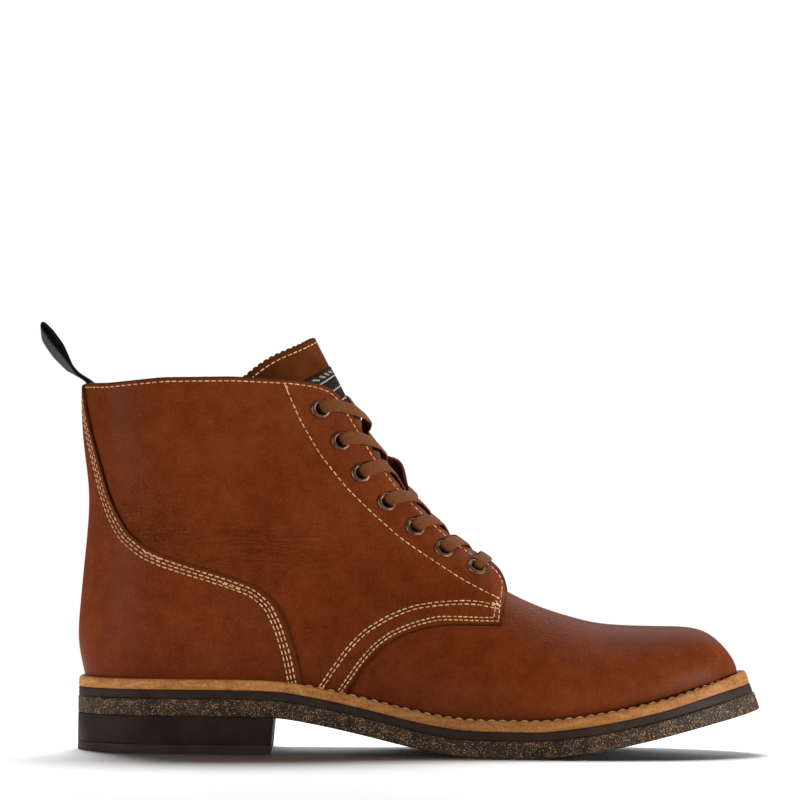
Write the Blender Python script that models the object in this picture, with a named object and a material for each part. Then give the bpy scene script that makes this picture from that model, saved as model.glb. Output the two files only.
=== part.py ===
"""A leather ankle boot with laces, for the right foot.

The toe points along +X and the outer side faces -Y. Sizes are in millimetres: x from the back of
the sole, y from the boot's middle line, z from the floor. Meshes are scaled to metres when made.
"""
import math

import bmesh
import bpy
import numpy as np
from mathutils import Vector

MM = 0.001
CLEARANCE = 0.3
ORIGIN_X = 144.75
LATERAL, MEDIAL = -1, 1


def table(names, *rows):
    """Columns of numbers by name; the first column is the key that the others are read by."""
    return dict(zip(names.split(), (np.array(column, float) for column in zip(*rows))))


# Sole, from the floor up
SOLE_LENGTH = 306.6
SOLE_STATIONS = 32
HEEL_ROUND, HEEL_SQUARENESS = 40.0, 2.2
TOE_ROUND, TOE_SQUARENESS = 95.0, 2.0
OUTSOLE, MIDSOLE, WELT = 7.7, 4.0, 4.7
HEEL_LIFT = 4.2
HEEL_BREAST, BREAST_SLANT = 89.2, 1.3
FOREFOOT_FLAT = (178.0, 206.0)
WELT_HIDDEN_EDGE = 10.0
INSOLE_RISE = 1.2

PLAN = table(
    "x      half_width  centre  ridge_centre  crown",
    (0.0,   36.3,       0.7,    0.7,          2.4),
    (43.0,  36.3,       0.7,    0.7,          2.4),
    (128.0, 34.8,       -2.3,   0.7,          2.4),
    (168.0, 41.5,       -2.8,   0.7,          2.3),
    (203.0, 50.0,       -1.8,   1.2,          2.05),
    (227.0, 52.4,       0.7,    2.6,          2.0),
    (265.0, 52.4,       4.0,    5.0,          2.1),
    (306.6, 52.4,       7.2,    7.2,          2.2),
)
TREAD = table(
    "x      z",
    (0.0,   16.6),
    (70.0,  16.6),
    (91.0,  16.1),
    (105.0, 14.0),
    (128.0, 9.2),
    (142.0, 5.9),
    (157.0, 2.6),
    (168.0, 0.8),
    (178.0, 0.0),
    (206.0, 0.0),
    (220.0, 1.4),
    (237.0, 3.9),
    (261.0, 9.0),
    (285.0, 15.2),
    (306.6, 20.6),
)
SOLE_LAYERS = table(
    "base  height  side_in  heel_in  toe_in",
    (0.0,              OUTSOLE, 0.0, 0.6, 0.0),
    (OUTSOLE,          MIDSOLE, 1.4, 0.9, 2.6),
    (OUTSOLE + MIDSOLE, WELT,   0.8, 0.9, 3.4),
)
UPPER_SEAT = 0.2
FEATHER = OUTSOLE + MIDSOLE + WELT + UPPER_SEAT

# Upper
WALL = 2.6
LEDGE = 6.0
QUARTER = 1.8
LAST_TOE = 296.0
LAST_TOE_ROUND = 90.0
TOE_BOX, TOE_BOX_SQUARENESS = 32.0, 2.2
LAST_HEEL_ROUND, LAST_HEEL_SQUARENESS = 42.0, 2.2
BULGE, BULGE_HEIGHT = 2.8, 20.0
CENTRE_RISE = 50.0
BACK_REACH = 45.0
EDGE_STEP, TAB_STEP = 4.0, 5.0
TAB_FRONT = 193.5
UPPER_COLUMNS, UPPER_ROWS = 40, 12
FIRST_ARCH, LAST_ARCH, HEEL_CROWDING = 90.0, 150.0, 1.3

BACK = table(
    "z      x",
    (33.0,  5.2),
    (50.0,  1.8),
    (75.0,  3.5),
    (112.0, 6.2),
    (140.0, 3.1),
    (154.0, 2.2),
    (170.0, 2.2),
)
TOP_LINE = table(
    "x      z",
    (0.0,   164.3),
    (13.0,  164.4),
    (38.0,  167.2),
    (69.0,  167.9),
    (95.0,  166.9),
    (106.0, 165.6),
    (111.5, 163.9),
    (115.0, 162.0),
    (119.0, 157.7),
    (126.2, 145.7),
    (134.2, 132.6),
    (145.3, 118.6),
    (156.8, 107.4),
    (167.7, 97.3),
    (178.9, 90.0),
    (186.4, 85.8),
    (190.6, 82.0),
    (192.6, 77.4),
    (193.4, 73.0),
)
QUARTER_RIDGE = table(
    "x      z",
    (-20.0, 480.0),
    (60.0,  290.0),
    (100.0, 203.0),
    (108.4, 185.0),
    (118.9, 166.2),
    (126.2, 152.3),
    (134.2, 138.0),
    (145.3, 121.5),
    (156.8, 109.1),
    (167.7, 98.6),
    (178.9, 90.8),
    (186.4, 86.6),
    (193.5, 83.4),
    (330.0, 30.0),
)
VAMP_HEIGHT = table(
    "x      z",
    (0.0,   240.0),
    (120.0, 120.0),
    (150.0, 90.0),
    (176.0, 68.0),
    (193.0, 55.6),
    (208.0, 48.8),
    (220.0, 43.7),
    (233.0, 38.7),
    (246.0, 35.3),
    (258.0, 32.4),
    (271.0, 29.2),
    (284.0, 27.0),
    (296.0, 20.0),
)
QUARTER_EDGE = table(
    "x      z",
    (0.0,   -300.0),
    (117.0, 10.0),
    (122.2, 29.4),
    (127.5, 38.3),
    (135.3, 46.8),
    (145.0, 53.5),
    (156.0, 57.6),
    (167.0, 59.0),
    (192.0, 58.8),
    (310.0, 58.8),
)

# Heel counter
COUNTER = 1.4
EDGE_HALVINGS = 30
COUNTER_EDGE = table(
    "x      z",
    (0.0,   163.0),
    (5.0,   160.2),
    (8.2,   143.3),
    (11.9,  130.1),
    (16.0,  116.8),
    (20.1,  107.9),
    (25.5,  99.1),
    (33.6,  92.5),
    (42.5,  88.2),
    (69.3,  79.1),
    (80.4,  74.8),
    (88.0,  68.6),
    (93.0,  57.6),
    (97.1,  44.3),
    (99.0,  36.0),
)

# Tongue
TONGUE, TONGUE_GAP = 2.0, 0.7
TONGUE_ROWS, TONGUE_COLUMNS = 14, 6
TONGUE_LAY = table(
    "along  ridge_x  edge_x  edge_z  sunk",
    (0.0,   189.5,   179.0,  75.0,   5.5),
    (0.12,  178.0,   164.0,  78.5,   1.0),
    (0.25,  166.0,   151.0,  84.0,   0.0),
    (0.5,   145.3,   127.0,  100.0,  0.0),
    (0.75,  126.2,   103.0,  131.0,  0.0),
    (1.0,   108.4,   73.0,   169.0,  0.0),
)

# Eyelets and lace
EYELET_BORE, EYELET_BARREL, EYELET_RIM = 2.2, 2.6, 4.5
EYELET_FLANGE, EYELET_CHAMFER, EYELET_DEPTH = 0.9, 0.7, 2.4
EYELET_HOLE = 3.0
EYELET_SIDES = 10
LACE_WIDTH, LACE_THICKNESS, LACE_LIFT = 5.0, 1.3, 0.65
LACE_OVERLAY, LACE_FOOT_OVERLAY = 0.6, 0.3
LACE_STEPS = 6
EYELETS = table(
    "number  x      z      ridge_x",
    (0,      108.7, 153.6, 121.6),
    (1,      117.8, 139.4, 130.5),
    (2,      126.9, 125.2, 138.5),
    (3,      138.6, 112.4, 148.5),
    (4,      151.3, 101.3, 159.5),
    (5,      164.3, 91.6,  170.5),
    (6,      179.1, 83.7,  183.5),
)

# Pull loop
LOOP_WIDTH, LOOP_THICKNESS = 14.0, 1.2
LOOP_TILT = math.radians(-27.0)
LOOP_PATH = table(
    "step  x      z      tilted",
    (0,    7.6,   152.0, 0.0),
    (1,    7.5,   160.0, 0.0),
    (2,    6.7,   164.4, 0.0),
    (3,    4.4,   166.8, 0.1),
    (4,    1.0,   168.4, 0.3),
    (5,    -3.0,  171.0, 0.6),
    (6,    -8.8,  176.2, 0.9),
    (7,    -14.2, 183.0, 1.0),
    (8,    -16.5, 186.8, 1.0),
    (9,    -16.6, 188.4, 1.0),
    (10,   -15.2, 188.4, 1.0),
    (11,   -11.6, 185.0, 1.0),
    (12,   -4.8,  176.6, 0.9),
    (13,   1.4,   170.8, 0.6),
    (14,   6.4,   168.2, 0.3),
    (15,   9.0,   165.0, 0.1),
    (16,   9.6,   160.0, 0.0),
    (17,   9.6,   152.0, 0.0),
    (18,   8.6,   150.8, 0.0),
)

COLOURS = {
    "upper_leather": (0.13, 0.034, 0.013, 0.45),
    "counter_leather": (0.11, 0.028, 0.011, 0.45),
    "tongue_suede": (0.15, 0.055, 0.028, 0.9),
    "welt_leather": (0.30, 0.14, 0.055, 0.6),
    "midsole_rubber": (0.027, 0.016, 0.013, 0.7),
    "outsole_rubber": (0.035, 0.023, 0.017, 0.8),
    "heel_rubber": (0.016, 0.011, 0.009, 0.7),
    "insole_leather": (0.35, 0.22, 0.13, 0.8),
    "lace_cord": (0.19, 0.075, 0.033, 0.9),
    "eyelet_metal": (0.12, 0.06, 0.03, 0.35),
    "loop_webbing": (0.012, 0.011, 0.011, 0.9),
}
METALS = ("eyelet_metal",)


def smooth(u):
    """A step from 0 to 1 that starts and ends level."""
    u = np.clip(u, 0.0, 1.0)
    return u * u * (3.0 - 2.0 * u)


def through(rows, column, at):
    """A curve through a table's rows that never swings past them."""
    keys, values = next(iter(rows.values())), rows[column]
    at = np.clip(np.asarray(at, float), keys[0], keys[-1])
    gaps = np.diff(keys)
    slopes = np.diff(values) / gaps
    before, after = slopes[:-1], slopes[1:]
    heavy, light = 2 * gaps[1:] + gaps[:-1], gaps[1:] + 2 * gaps[:-1]
    same_way = before * after > 0
    tangents = np.concatenate(([slopes[0]], np.zeros(len(keys) - 2), [slopes[-1]]))
    mean = np.divide(before * after * (heavy + light), heavy * after + light * before,
                     out=np.zeros_like(before), where=same_way)
    tangents[1:-1] = mean
    i = np.clip(np.searchsorted(keys, at, side="right") - 1, 0, len(gaps) - 1)
    u = (at - keys[i]) / gaps[i]
    rise = values[i] + (values[i + 1] - values[i]) * u * u * (3 - 2 * u)
    sway = gaps[i] * u * (1 - u) * (tangents[i] * (1 - u) - tangents[i + 1] * u)
    return rise + sway


def closing(u, squareness):
    """How far a rounded end has opened, from 0 at its tip to 1 where the full width starts."""
    u = np.clip(u, 0.0, 1.0)
    return (1.0 - (1.0 - u) ** squareness) ** (1.0 / squareness)


def spaced(start, end, count):
    """Stations that crowd together at both ends, where outlines turn."""
    return start + (end - start) * (1 - np.cos(np.pi * np.arange(count + 1) / count)) / 2


def tread(x):
    return through(TREAD, "z", x)


def feather(x):
    """Height of the line where the upper meets the welt."""
    return tread(x) + FEATHER


def plan(x, side_in, heel_in, toe_in, side):
    """One edge of the sole's outline, drawn in from the outermost edge."""
    half = through(PLAN, "half_width", x) - side_in
    half = half * closing((x - heel_in) / HEEL_ROUND, HEEL_SQUARENESS)
    half = half * closing((SOLE_LENGTH - toe_in - x) / TOE_ROUND, TOE_SQUARENESS)
    return through(PLAN, "centre", x) + side * half


def centre(x, z):
    """Middle of the upper: over the sole's middle low down, under the ridge's middle high up."""
    rise = smooth((z - feather(x)) / CENTRE_RISE)
    low, high = through(PLAN, "centre", x), through(PLAN, "ridge_centre", x)
    return low + (high - low) * rise


def section(x, z, ridge, proud):
    """Half-width of a crosswise section: a rounded arch from the feather line to the ridge."""
    crown = through(PLAN, "crown", x)
    height = np.maximum(z - feather(x), 0.0)
    t = np.clip(height / np.maximum(ridge - feather(x), 0.01), 0.0, 1.0)
    lift = height / BULGE_HEIGHT
    full = through(PLAN, "half_width", x) - LEDGE + proud + BULGE * lift * np.exp(1.0 - lift)
    return full * (1.0 - t ** crown) ** (1.0 / crown)


def quarter_half(x, z):
    """Half-width of the quarters, which close round the heel along the back line."""
    wide = section(x, z, through(QUARTER_RIDGE, "z", x), QUARTER)
    return wide * closing((x - through(BACK, "x", z)) / LAST_HEEL_ROUND, LAST_HEEL_SQUARENESS)


def vamp_ridge(x):
    drop = closing((LAST_TOE - x) / TOE_BOX, TOE_BOX_SQUARENESS)
    return feather(x) + through(VAMP_HEIGHT, "z", x) * drop


def vamp_half(x, z):
    """Half-width of the vamp, which closes round the toe."""
    wide = section(x, z, vamp_ridge(x), 0.0)
    return wide * closing((LAST_TOE - x) / LAST_TOE_ROUND, TOE_SQUARENESS)


def upper_half(x, z):
    """The quarters behind their front edge, the vamp in front of it."""
    over = smooth((z - through(QUARTER_EDGE, "z", x)) / EDGE_STEP)
    over = over * smooth((TAB_FRONT - x) / TAB_STEP)
    return over * quarter_half(x, z) + (1.0 - over) * vamp_half(x, z)


def normals(half, x, z, side):
    """Outward directions, from how the squared half-width changes over the side view."""
    step = 0.05
    y = side * half(x, z)
    along = (half(x + step, z) ** 2 - half(x - step, z) ** 2) / (2 * step)
    up = (half(x, z + step) ** 2 - half(x, z - step) ** 2) / (2 * step)
    drift = (centre(x + step, z) - centre(x - step, z)) / (2 * step)
    climb = (centre(x, z + step) - centre(x, z - step)) / (2 * step)
    out = np.stack((-along - 2 * y * drift, 2 * y, -up - 2 * y * climb), -1)
    return out / np.maximum(np.linalg.norm(out, axis=-1, keepdims=True), 1e-9)


def surface(half, x, z, side, offset, level_row=False):
    """Points of one side of the upper, moved out by an offset; a level row stays at its height."""
    out = normals(half, x, z, side)
    if level_row:
        flat = out[..., 0, :] * (1.0, 1.0, 0.0)
        out[..., 0, :] = flat / np.linalg.norm(flat, axis=-1, keepdims=True)
    at = np.stack((x, centre(x, z) + side * half(x, z), z), -1)
    return at + offset * out


def material(name):
    red, green, blue, roughness = COLOURS[name]
    made = bpy.data.materials.new(name)
    made.use_nodes = True
    shader = made.node_tree.nodes["Principled BSDF"]
    shader.inputs["Base Color"].default_value = (red, green, blue, 1.0)
    shader.inputs["Roughness"].default_value = roughness
    shader.inputs["Metallic"].default_value = float(name in METALS)
    made.diffuse_color = (red, green, blue, 1.0)
    return made


def add(name, bm, finish, helper=False):
    """One named object from a bmesh in millimetres, under the boot's root."""
    bmesh.ops.scale(bm, vec=(MM, MM, MM), verts=bm.verts)
    bmesh.ops.recalc_face_normals(bm, faces=bm.faces)
    mesh = bpy.data.meshes.new(name)
    bm.to_mesh(mesh)
    bm.free()
    mesh.materials.append(finish)
    piece = bpy.data.objects.new(name, mesh)
    bpy.context.collection.objects.link(piece)
    piece.parent = bpy.data.objects["boot"]
    piece.hide_render = helper
    piece.display_type = "WIRE" if helper else "TEXTURED"
    return piece


def shell(bm, sheets):
    """Closed walls between two sheets of points, laid out in the same grid.

    Points of the front sheet that fall together are joined, the back sheet joins in the same
    places, and a rim closes every edge that is left open.
    """
    front, back, faces, count = [], [], [], 0
    for face_grid, back_grid in sheets:
        columns, rows = face_grid.shape[:2]
        index = count + np.arange(columns * rows).reshape(columns, rows)
        corners = (index[:-1, :-1], index[1:, :-1], index[1:, 1:], index[:-1, 1:])
        faces.extend(np.stack(corners, -1).reshape(-1, 4))
        front.append(face_grid.reshape(-1, 3))
        back.append(back_grid.reshape(-1, 3))
        count += columns * rows
    front, back = np.concatenate(front), np.concatenate(back)
    _, first, same = np.unique(np.round(front, 3), axis=0, return_index=True, return_inverse=True)
    weld = first[same.ravel()]
    rings = [list(dict.fromkeys(weld[face].tolist())) for face in faces]
    rings = [ring for ring in rings if len(ring) > 2]
    edges = {(a, b) for ring in rings for a, b in zip(ring, ring[1:] + ring[:1])}
    outside = {i: bm.verts.new(front[i]) for i in sorted({i for ring in rings for i in ring})}
    inside = {i: bm.verts.new(back[i]) for i in outside}
    for ring in rings:
        bm.faces.new([outside[i] for i in ring])
        bm.faces.new([inside[i] for i in reversed(ring)])
    for a, b in sorted(edges):
        if (b, a) not in edges:
            bm.faces.new((outside[b], outside[a], inside[a], inside[b]))
    return bm


def layer(name, finish, rows, base, top):
    """A sole layer between two heights over the tread line."""
    side_in, heel_in, toe_in = rows
    x = np.sort(np.append(spaced(heel_in, SOLE_LENGTH - toe_in, SOLE_STATIONS), FOREFOOT_FLAT))
    sides = np.stack([plan(x, side_in, heel_in, toe_in, side) for side in (MEDIAL, LATERAL)], 1)
    along = np.stack((x, x), 1)
    upper = np.stack((along, sides, tread(along) + top), -1)
    lower = np.stack((along, sides, tread(along) + base), -1)
    return add(name, shell(bmesh.new(), [(upper, lower)]), finish)


def sole_layer(name, finish, number):
    pick = {column: values[number] for column, values in SOLE_LAYERS.items()}
    rows = (pick["side_in"], pick["heel_in"], pick["toe_in"])
    return layer(name, finish, rows, pick["base"], pick["base"] + pick["height"] - CLEARANCE)


def welt(finish):
    """A ring round the boot: its outer edge shows, its inner edge lies under the upper."""
    pick = {column: values[-1] for column, values in SOLE_LAYERS.items()}
    hidden_toe = SOLE_LENGTH - LAST_TOE + WELT_HIDDEN_EDGE - LEDGE
    edges = ((pick["side_in"], pick["heel_in"], pick["toe_in"]),
             (WELT_HIDDEN_EDGE, WELT_HIDDEN_EDGE, hidden_toe))
    loops = []
    for side_in, heel_in, toe_in in edges:
        x = spaced(heel_in, SOLE_LENGTH - toe_in, SOLE_STATIONS)
        there = np.stack((x, plan(x, side_in, heel_in, toe_in, LATERAL)), 1)
        home = np.stack((x, plan(x, side_in, heel_in, toe_in, MEDIAL)), 1)[::-1]
        loops.append(np.concatenate((there, home[1:])))
    ring = np.stack(loops, 1)
    base, height = pick["base"], pick["height"] - CLEARANCE
    low = np.concatenate((ring, tread(ring[..., :1]) + base), -1)
    return add("welt", shell(bmesh.new(), [(low + (0.0, 0.0, height), low)]), finish)


def insole(finish):
    edge = WELT_HIDDEN_EDGE + 2 * CLEARANCE
    rows = (edge, edge, SOLE_LENGTH - LAST_TOE + edge - LEDGE)
    return layer("insole", finish, rows, OUTSOLE + MIDSOLE, FEATHER + INSOLE_RISE)


def heel_piece(name, finish, low, high):
    """A slab with the heel's outline, cut off by a slanted breast face, under the tread line."""
    heel_in, seat = SOLE_LAYERS["heel_in"][0], TREAD["z"][0]
    faces = []
    for z in (high, low):
        front = HEEL_BREAST - BREAST_SLANT * (1.0 - z / seat)
        x = heel_in + (front - heel_in) * (1 - np.cos(np.linspace(0, np.pi / 2, SOLE_STATIONS // 2)))
        sides = np.stack([plan(x, 0.0, heel_in, 0.0, side) for side in (MEDIAL, LATERAL)], 1)
        along = np.stack((x, x), 1)
        faces.append(np.stack((along, sides, np.minimum(tread(along) - CLEARANCE, z)), -1))
    return add(name, shell(bmesh.new(), [tuple(faces)]), finish)


def lean(x, z):
    """Shift that bends an upright line near the heel along the back line."""
    near = np.clip(1.0 - (x - BACK["x"][0]) / BACK_REACH, 0.0, 1.0) ** 2
    return near * (through(BACK, "x", z) - BACK["x"][0])


def upper_grid():
    """Side-view points of upright lines from the feather line to the collar, throat or ridge.

    Rows crowd towards the sole at the heel, where the back bulges, and towards the ridge in front.
    """
    x = spaced(BACK["x"][0], LAST_TOE, UPPER_COLUMNS)
    collar = through(TOP_LINE, "z", x + lean(x, TOP_LINE["z"][0]))
    top = np.where(x < TAB_FRONT, collar, vamp_ridge(x))[:, None]
    v = np.linspace(0.0, 1.0, UPPER_ROWS + 1)[None, :]
    forward = smooth((x - FIRST_ARCH) / (LAST_ARCH - FIRST_ARCH))[:, None]
    v = v ** HEEL_CROWDING * (1.0 - forward) + np.sin(v * np.pi / 2) * forward
    z = feather(x)[:, None] * (1.0 - v) + top * v
    return x[:, None] + lean(x[:, None], z), z


def both_sides(half, x, z, outer, inner):
    """Front and back sheets of the two sides, each facing outward."""
    sheets = []
    for side, order in ((LATERAL, 1), (MEDIAL, -1)):
        front = surface(half, x, z, side, outer, level_row=True)
        back = surface(half, x, z, side, inner, level_row=True)
        sheets.append((front[::order], back[::order]))
    return sheets


def upper(finish):
    """The hollow wall: outer and inner skins of both sides, joined at heel, vamp and toe."""
    x, z = upper_grid()
    return add("upper", shell(bmesh.new(), both_sides(upper_half, x, z, 0.0, -WALL)), finish)


def counter_top(x):
    """Height at which each upright line meets the counter's edge, by halving the interval."""
    low, high = feather(x), np.full_like(x, COUNTER_EDGE["z"][0])
    for _ in range(EDGE_HALVINGS):
        middle = (low + high) / 2
        under = through(COUNTER_EDGE, "z", x + lean(x, middle)) > middle
        low, high = np.where(under, middle, low), np.where(under, high, middle)
    return low


def counter(finish):
    """The overlay round the heel, on the quarters' own surface behind its curved edge."""
    x, z = upper_grid()
    start = x[x[:, 0] < COUNTER_EDGE["x"][-1], :1]
    z = np.minimum(z[:len(start)], counter_top(start))
    sheets = both_sides(quarter_half, start + lean(start, z), z, CLEARANCE + COUNTER, CLEARANCE)
    return add("counter", shell(bmesh.new(), sheets), finish)


def tongue(finish):
    """A sheet under the facings that stands up past the collar."""
    along = np.linspace(0.0, 1.0, TONGUE_ROWS + 1)[:, None]
    across = 1 - np.cos(np.linspace(0, np.pi / 2, TONGUE_COLUMNS + 1))[None, :]
    ridge_x = through(TONGUE_LAY, "ridge_x", along)
    ridge_z = through(QUARTER_RIDGE, "z", ridge_x)
    x = ridge_x + (through(TONGUE_LAY, "edge_x", along) - ridge_x) * across
    z = ridge_z + (through(TONGUE_LAY, "edge_z", along) - ridge_z) * across
    depth = WALL + TONGUE_GAP + through(TONGUE_LAY, "sunk", along)[..., None]
    faces = []
    for offset in (-depth, -depth - TONGUE):
        near = surface(quarter_half, x, z, LATERAL, offset)
        far = surface(quarter_half, x, z, MEDIAL, offset)
        faces.append(np.concatenate((far[:, :0:-1], near), 1))
    return add("tongue", shell(bmesh.new(), [tuple(faces)]), finish)


def eyelet_frames():
    """Place and outward direction of each eyelet, by side and number."""
    frames = {}
    for side, word in ((LATERAL, "lateral"), (MEDIAL, "medial")):
        at = surface(quarter_half, EYELETS["x"], EYELETS["z"], side, 0.0)
        out = normals(quarter_half, EYELETS["x"], EYELETS["z"], side)
        for number, (point, direction) in enumerate(zip(at, out), 1):
            frames[f"eyelet_{word}_{number}"] = Vector(point), Vector(direction)
    return frames


def eyelets(finish, frames):
    """Flanged rings, each turned from one profile and set square to the leather."""
    profile = ((EYELET_BORE, -EYELET_DEPTH), (EYELET_BARREL, -EYELET_DEPTH), (EYELET_BARREL, 0.0),
               (EYELET_RIM, 0.0), (EYELET_RIM - EYELET_CHAMFER, EYELET_FLANGE),
               (EYELET_BORE, EYELET_FLANGE / 2))
    for name, (point, direction) in frames.items():
        bm = bmesh.new()
        verts = [bm.verts.new((radius, 0.0, z)) for radius, z in profile]
        edges = [bm.edges.new(pair) for pair in zip(verts, verts[1:] + verts[:1])]
        bmesh.ops.spin(bm, geom=verts + edges, cent=(0, 0, 0), axis=(0, 0, 1), dvec=(0, 0, 0),
                       angle=2 * math.pi, steps=EYELET_SIDES, use_merge=True)
        bmesh.ops.remove_doubles(bm, verts=bm.verts, dist=1e-4)
        ring = add(name, bm, finish)
        ring.location = (point + CLEARANCE * direction) * MM
        ring.rotation_mode = "QUATERNION"
        ring.rotation_quaternion = direction.to_track_quat("Z", "Y")


def pierce(piece, frames, finish):
    """Round holes through the facings for the eyelets."""
    bm = bmesh.new()
    for point, direction in frames.values():
        turn = direction.to_track_quat("Z", "Y").to_matrix().to_4x4()
        turn.translation = point
        bmesh.ops.create_cone(bm, cap_ends=True, segments=EYELET_SIDES, radius1=EYELET_HOLE,
                              radius2=EYELET_HOLE, depth=4 * WALL, matrix=turn)
    cut(piece, add("eyelet_holes", bm, finish, helper=True), "DIFFERENCE")


def cut(piece, tool, operation):
    change = piece.modifiers.new(tool.name, "BOOLEAN")
    change.object = tool
    change.operation = operation
    change.solver = "EXACT"


def lace_point(number, across, offset):
    """A point over the throat: across runs from one eyelet row to the other."""
    row = {name: np.interp(number, EYELETS["number"], EYELETS[name]) for name in EYELETS}
    ridge_z = through(QUARTER_RIDGE, "z", row["ridge_x"])
    x = row["ridge_x"] + (row["x"] - row["ridge_x"]) * across ** 2
    z = ridge_z + (row["z"] - ridge_z) * across ** 2
    side = np.where(across < 0, LATERAL, MEDIAL)
    return surface(quarter_half, x, z, side, offset), normals(quarter_half, x, z, side)


def lace_bar(bm, start, end, from_side, overlay):
    """One flat run of lace from an eyelet to one on the other side."""
    across = from_side * np.linspace(1.0, -1.0, LACE_STEPS + 1)
    number = np.linspace(start, end, LACE_STEPS + 1)
    lift = CLEARANCE + EYELET_FLANGE + LACE_LIFT + overlay
    sheets = []
    for offset in (lift + LACE_THICKNESS, lift):
        at, out = lace_point(number, across, offset)
        broad = np.cross(np.gradient(at, axis=0), out)
        broad = broad / np.linalg.norm(broad, axis=-1, keepdims=True) * LACE_WIDTH / 2
        sheets.append(np.stack((at - broad, at + broad), 1))
    shell(bm, [tuple(sheets)])


def lace(finish):
    """Crossed runs down the throat and one straight run at its foot, joined in one solid."""
    down, back, foot = bmesh.new(), bmesh.new(), bmesh.new()
    last = len(EYELETS["number"]) - 1
    for number in range(last):
        lace_bar(down, number, number + 1, LATERAL, 0.0)
        lace_bar(back, number, number + 1, MEDIAL, LACE_OVERLAY)
    lace_bar(foot, last, last, LATERAL, LACE_FOOT_OVERLAY)
    piece = add("lace", down, finish)
    cut(piece, add("lace_back_runs", back, finish, helper=True), "UNION")
    cut(piece, add("lace_foot_run", foot, finish, helper=True), "UNION")


def pull_loop(finish):
    """A tape folded into a loop, its ends inside the back of the collar."""
    path = np.stack((LOOP_PATH["x"], LOOP_PATH["z"]), 1)
    ahead = np.roll(path, -1, 0) - np.roll(path, 1, 0)
    ahead = ahead / np.linalg.norm(ahead, axis=1, keepdims=True)
    out = np.stack((-ahead[:, 1], ahead[:, 0]), 1) * LOOP_THICKNESS / 2
    tilt = LOOP_TILT * LOOP_PATH["tilted"]
    middle = through(PLAN, "centre", 0.0)
    sheets = []
    for offset in (out, -out):
        edges = []
        for reach in (-LOOP_WIDTH / 2, LOOP_WIDTH / 2):
            flat = path + offset
            y, z = middle + reach * np.cos(tilt), flat[:, 1] + reach * np.sin(tilt)
            edges.append(np.stack((flat[:, 0], y, z), 1))
        grid = np.stack(edges, 1)
        sheets.append(np.concatenate((grid, grid[:1])))
    return add("pull_loop", shell(bmesh.new(), [tuple(sheets)]), finish)


def main():
    for old in list(bpy.data.objects):
        bpy.data.objects.remove(old)
    root = bpy.data.objects.new("boot", None)
    root.location = (-ORIGIN_X * MM, 0.0, 0.0)
    bpy.context.collection.objects.link(root)
    finish = {name: material(name) for name in COLOURS}
    heel_piece("heel_lift", finish["heel_rubber"], 0.0, HEEL_LIFT - CLEARANCE)
    heel_piece("heel_block", finish["heel_rubber"], HEEL_LIFT, TREAD["z"][0])
    sole_layer("outsole", finish["outsole_rubber"], 0)
    sole_layer("midsole", finish["midsole_rubber"], 1)
    welt(finish["welt_leather"])
    insole(finish["insole_leather"])
    frames = eyelet_frames()
    pierce(upper(finish["upper_leather"]), frames, finish["upper_leather"])
    counter(finish["counter_leather"])
    tongue(finish["tongue_suede"])
    eyelets(finish["eyelet_metal"], frames)
    lace(finish["lace_cord"])
    pull_loop(finish["loop_webbing"])


main()
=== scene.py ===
# %% [markdown]
# # A brown leather boot with laces
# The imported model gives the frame: where the sole lies, how long the boot is, where its eyelets sit.
# This lesson builds the looks on top of it, one piece at a time, as a maker would: first the form that
# everything is pulled over, then the leather panels, the seams, the sole, and last the lace. Sizes are
# in millimetres, measured from the back of the sole, the middle line and the floor, until a mesh is
# made.

# %% The frame and its box
import math

import bmesh
import bpy
import numpy as np
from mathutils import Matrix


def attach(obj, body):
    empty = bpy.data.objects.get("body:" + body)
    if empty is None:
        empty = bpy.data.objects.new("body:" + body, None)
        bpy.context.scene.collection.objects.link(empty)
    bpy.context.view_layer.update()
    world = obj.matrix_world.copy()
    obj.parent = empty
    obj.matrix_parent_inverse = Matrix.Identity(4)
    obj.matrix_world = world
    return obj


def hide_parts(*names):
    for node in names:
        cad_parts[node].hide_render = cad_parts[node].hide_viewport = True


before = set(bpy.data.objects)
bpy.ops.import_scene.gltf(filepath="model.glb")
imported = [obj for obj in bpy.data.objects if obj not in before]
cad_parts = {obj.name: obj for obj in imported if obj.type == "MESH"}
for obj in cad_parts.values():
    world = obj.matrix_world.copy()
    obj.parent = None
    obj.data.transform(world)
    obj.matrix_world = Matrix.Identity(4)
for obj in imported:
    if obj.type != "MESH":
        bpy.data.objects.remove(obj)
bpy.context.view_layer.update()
MM = 0.001
MIDDLE_X = 144.75
LATERAL, MEDIAL = -1, 1
SIDES = ((LATERAL, "lateral"), (MEDIAL, "medial"))
print("nodes in the frame:", len(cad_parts))

# %% [markdown]
# ## Camera, floor and light
# The boot was pictured square from its outer side with a long lens, so its proportions hardly change
# with depth. A camera far away with a long lens gives the same flat look; a nearer one would swell the
# toe. It is rolled by half a degree, as the picture is.

# %% Camera
CAMERA_PLACE, CAMERA_ROLL, LENS, SENSOR = (-0.00075, -2.6, 0.158), -0.0098, 260.0, 36.0
scene = bpy.context.scene
camera = bpy.data.objects.new("camera", bpy.data.cameras.new("camera"))
scene.collection.objects.link(camera)
camera.location = CAMERA_PLACE
camera.rotation_euler = (math.pi / 2, CAMERA_ROLL, 0.0)
camera.data.lens = LENS
camera.data.sensor_width = SENSOR
camera.data.clip_end = 50.0
scene.camera = camera
scene.view_settings.view_transform = "Standard"
print("camera at", tuple(camera.location))

# %% [markdown]
# The light is a white room with broad, soft lamps: one overhead, one at the toe's side, one at the
# heel's side and a weak one in front, so that the leather shows soft sheens and no hard glare. Two more
# light only the floor, as a studio table would be lit. Small lamps would be simpler to place, but they
# leave bright spots on waxed leather.


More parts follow.
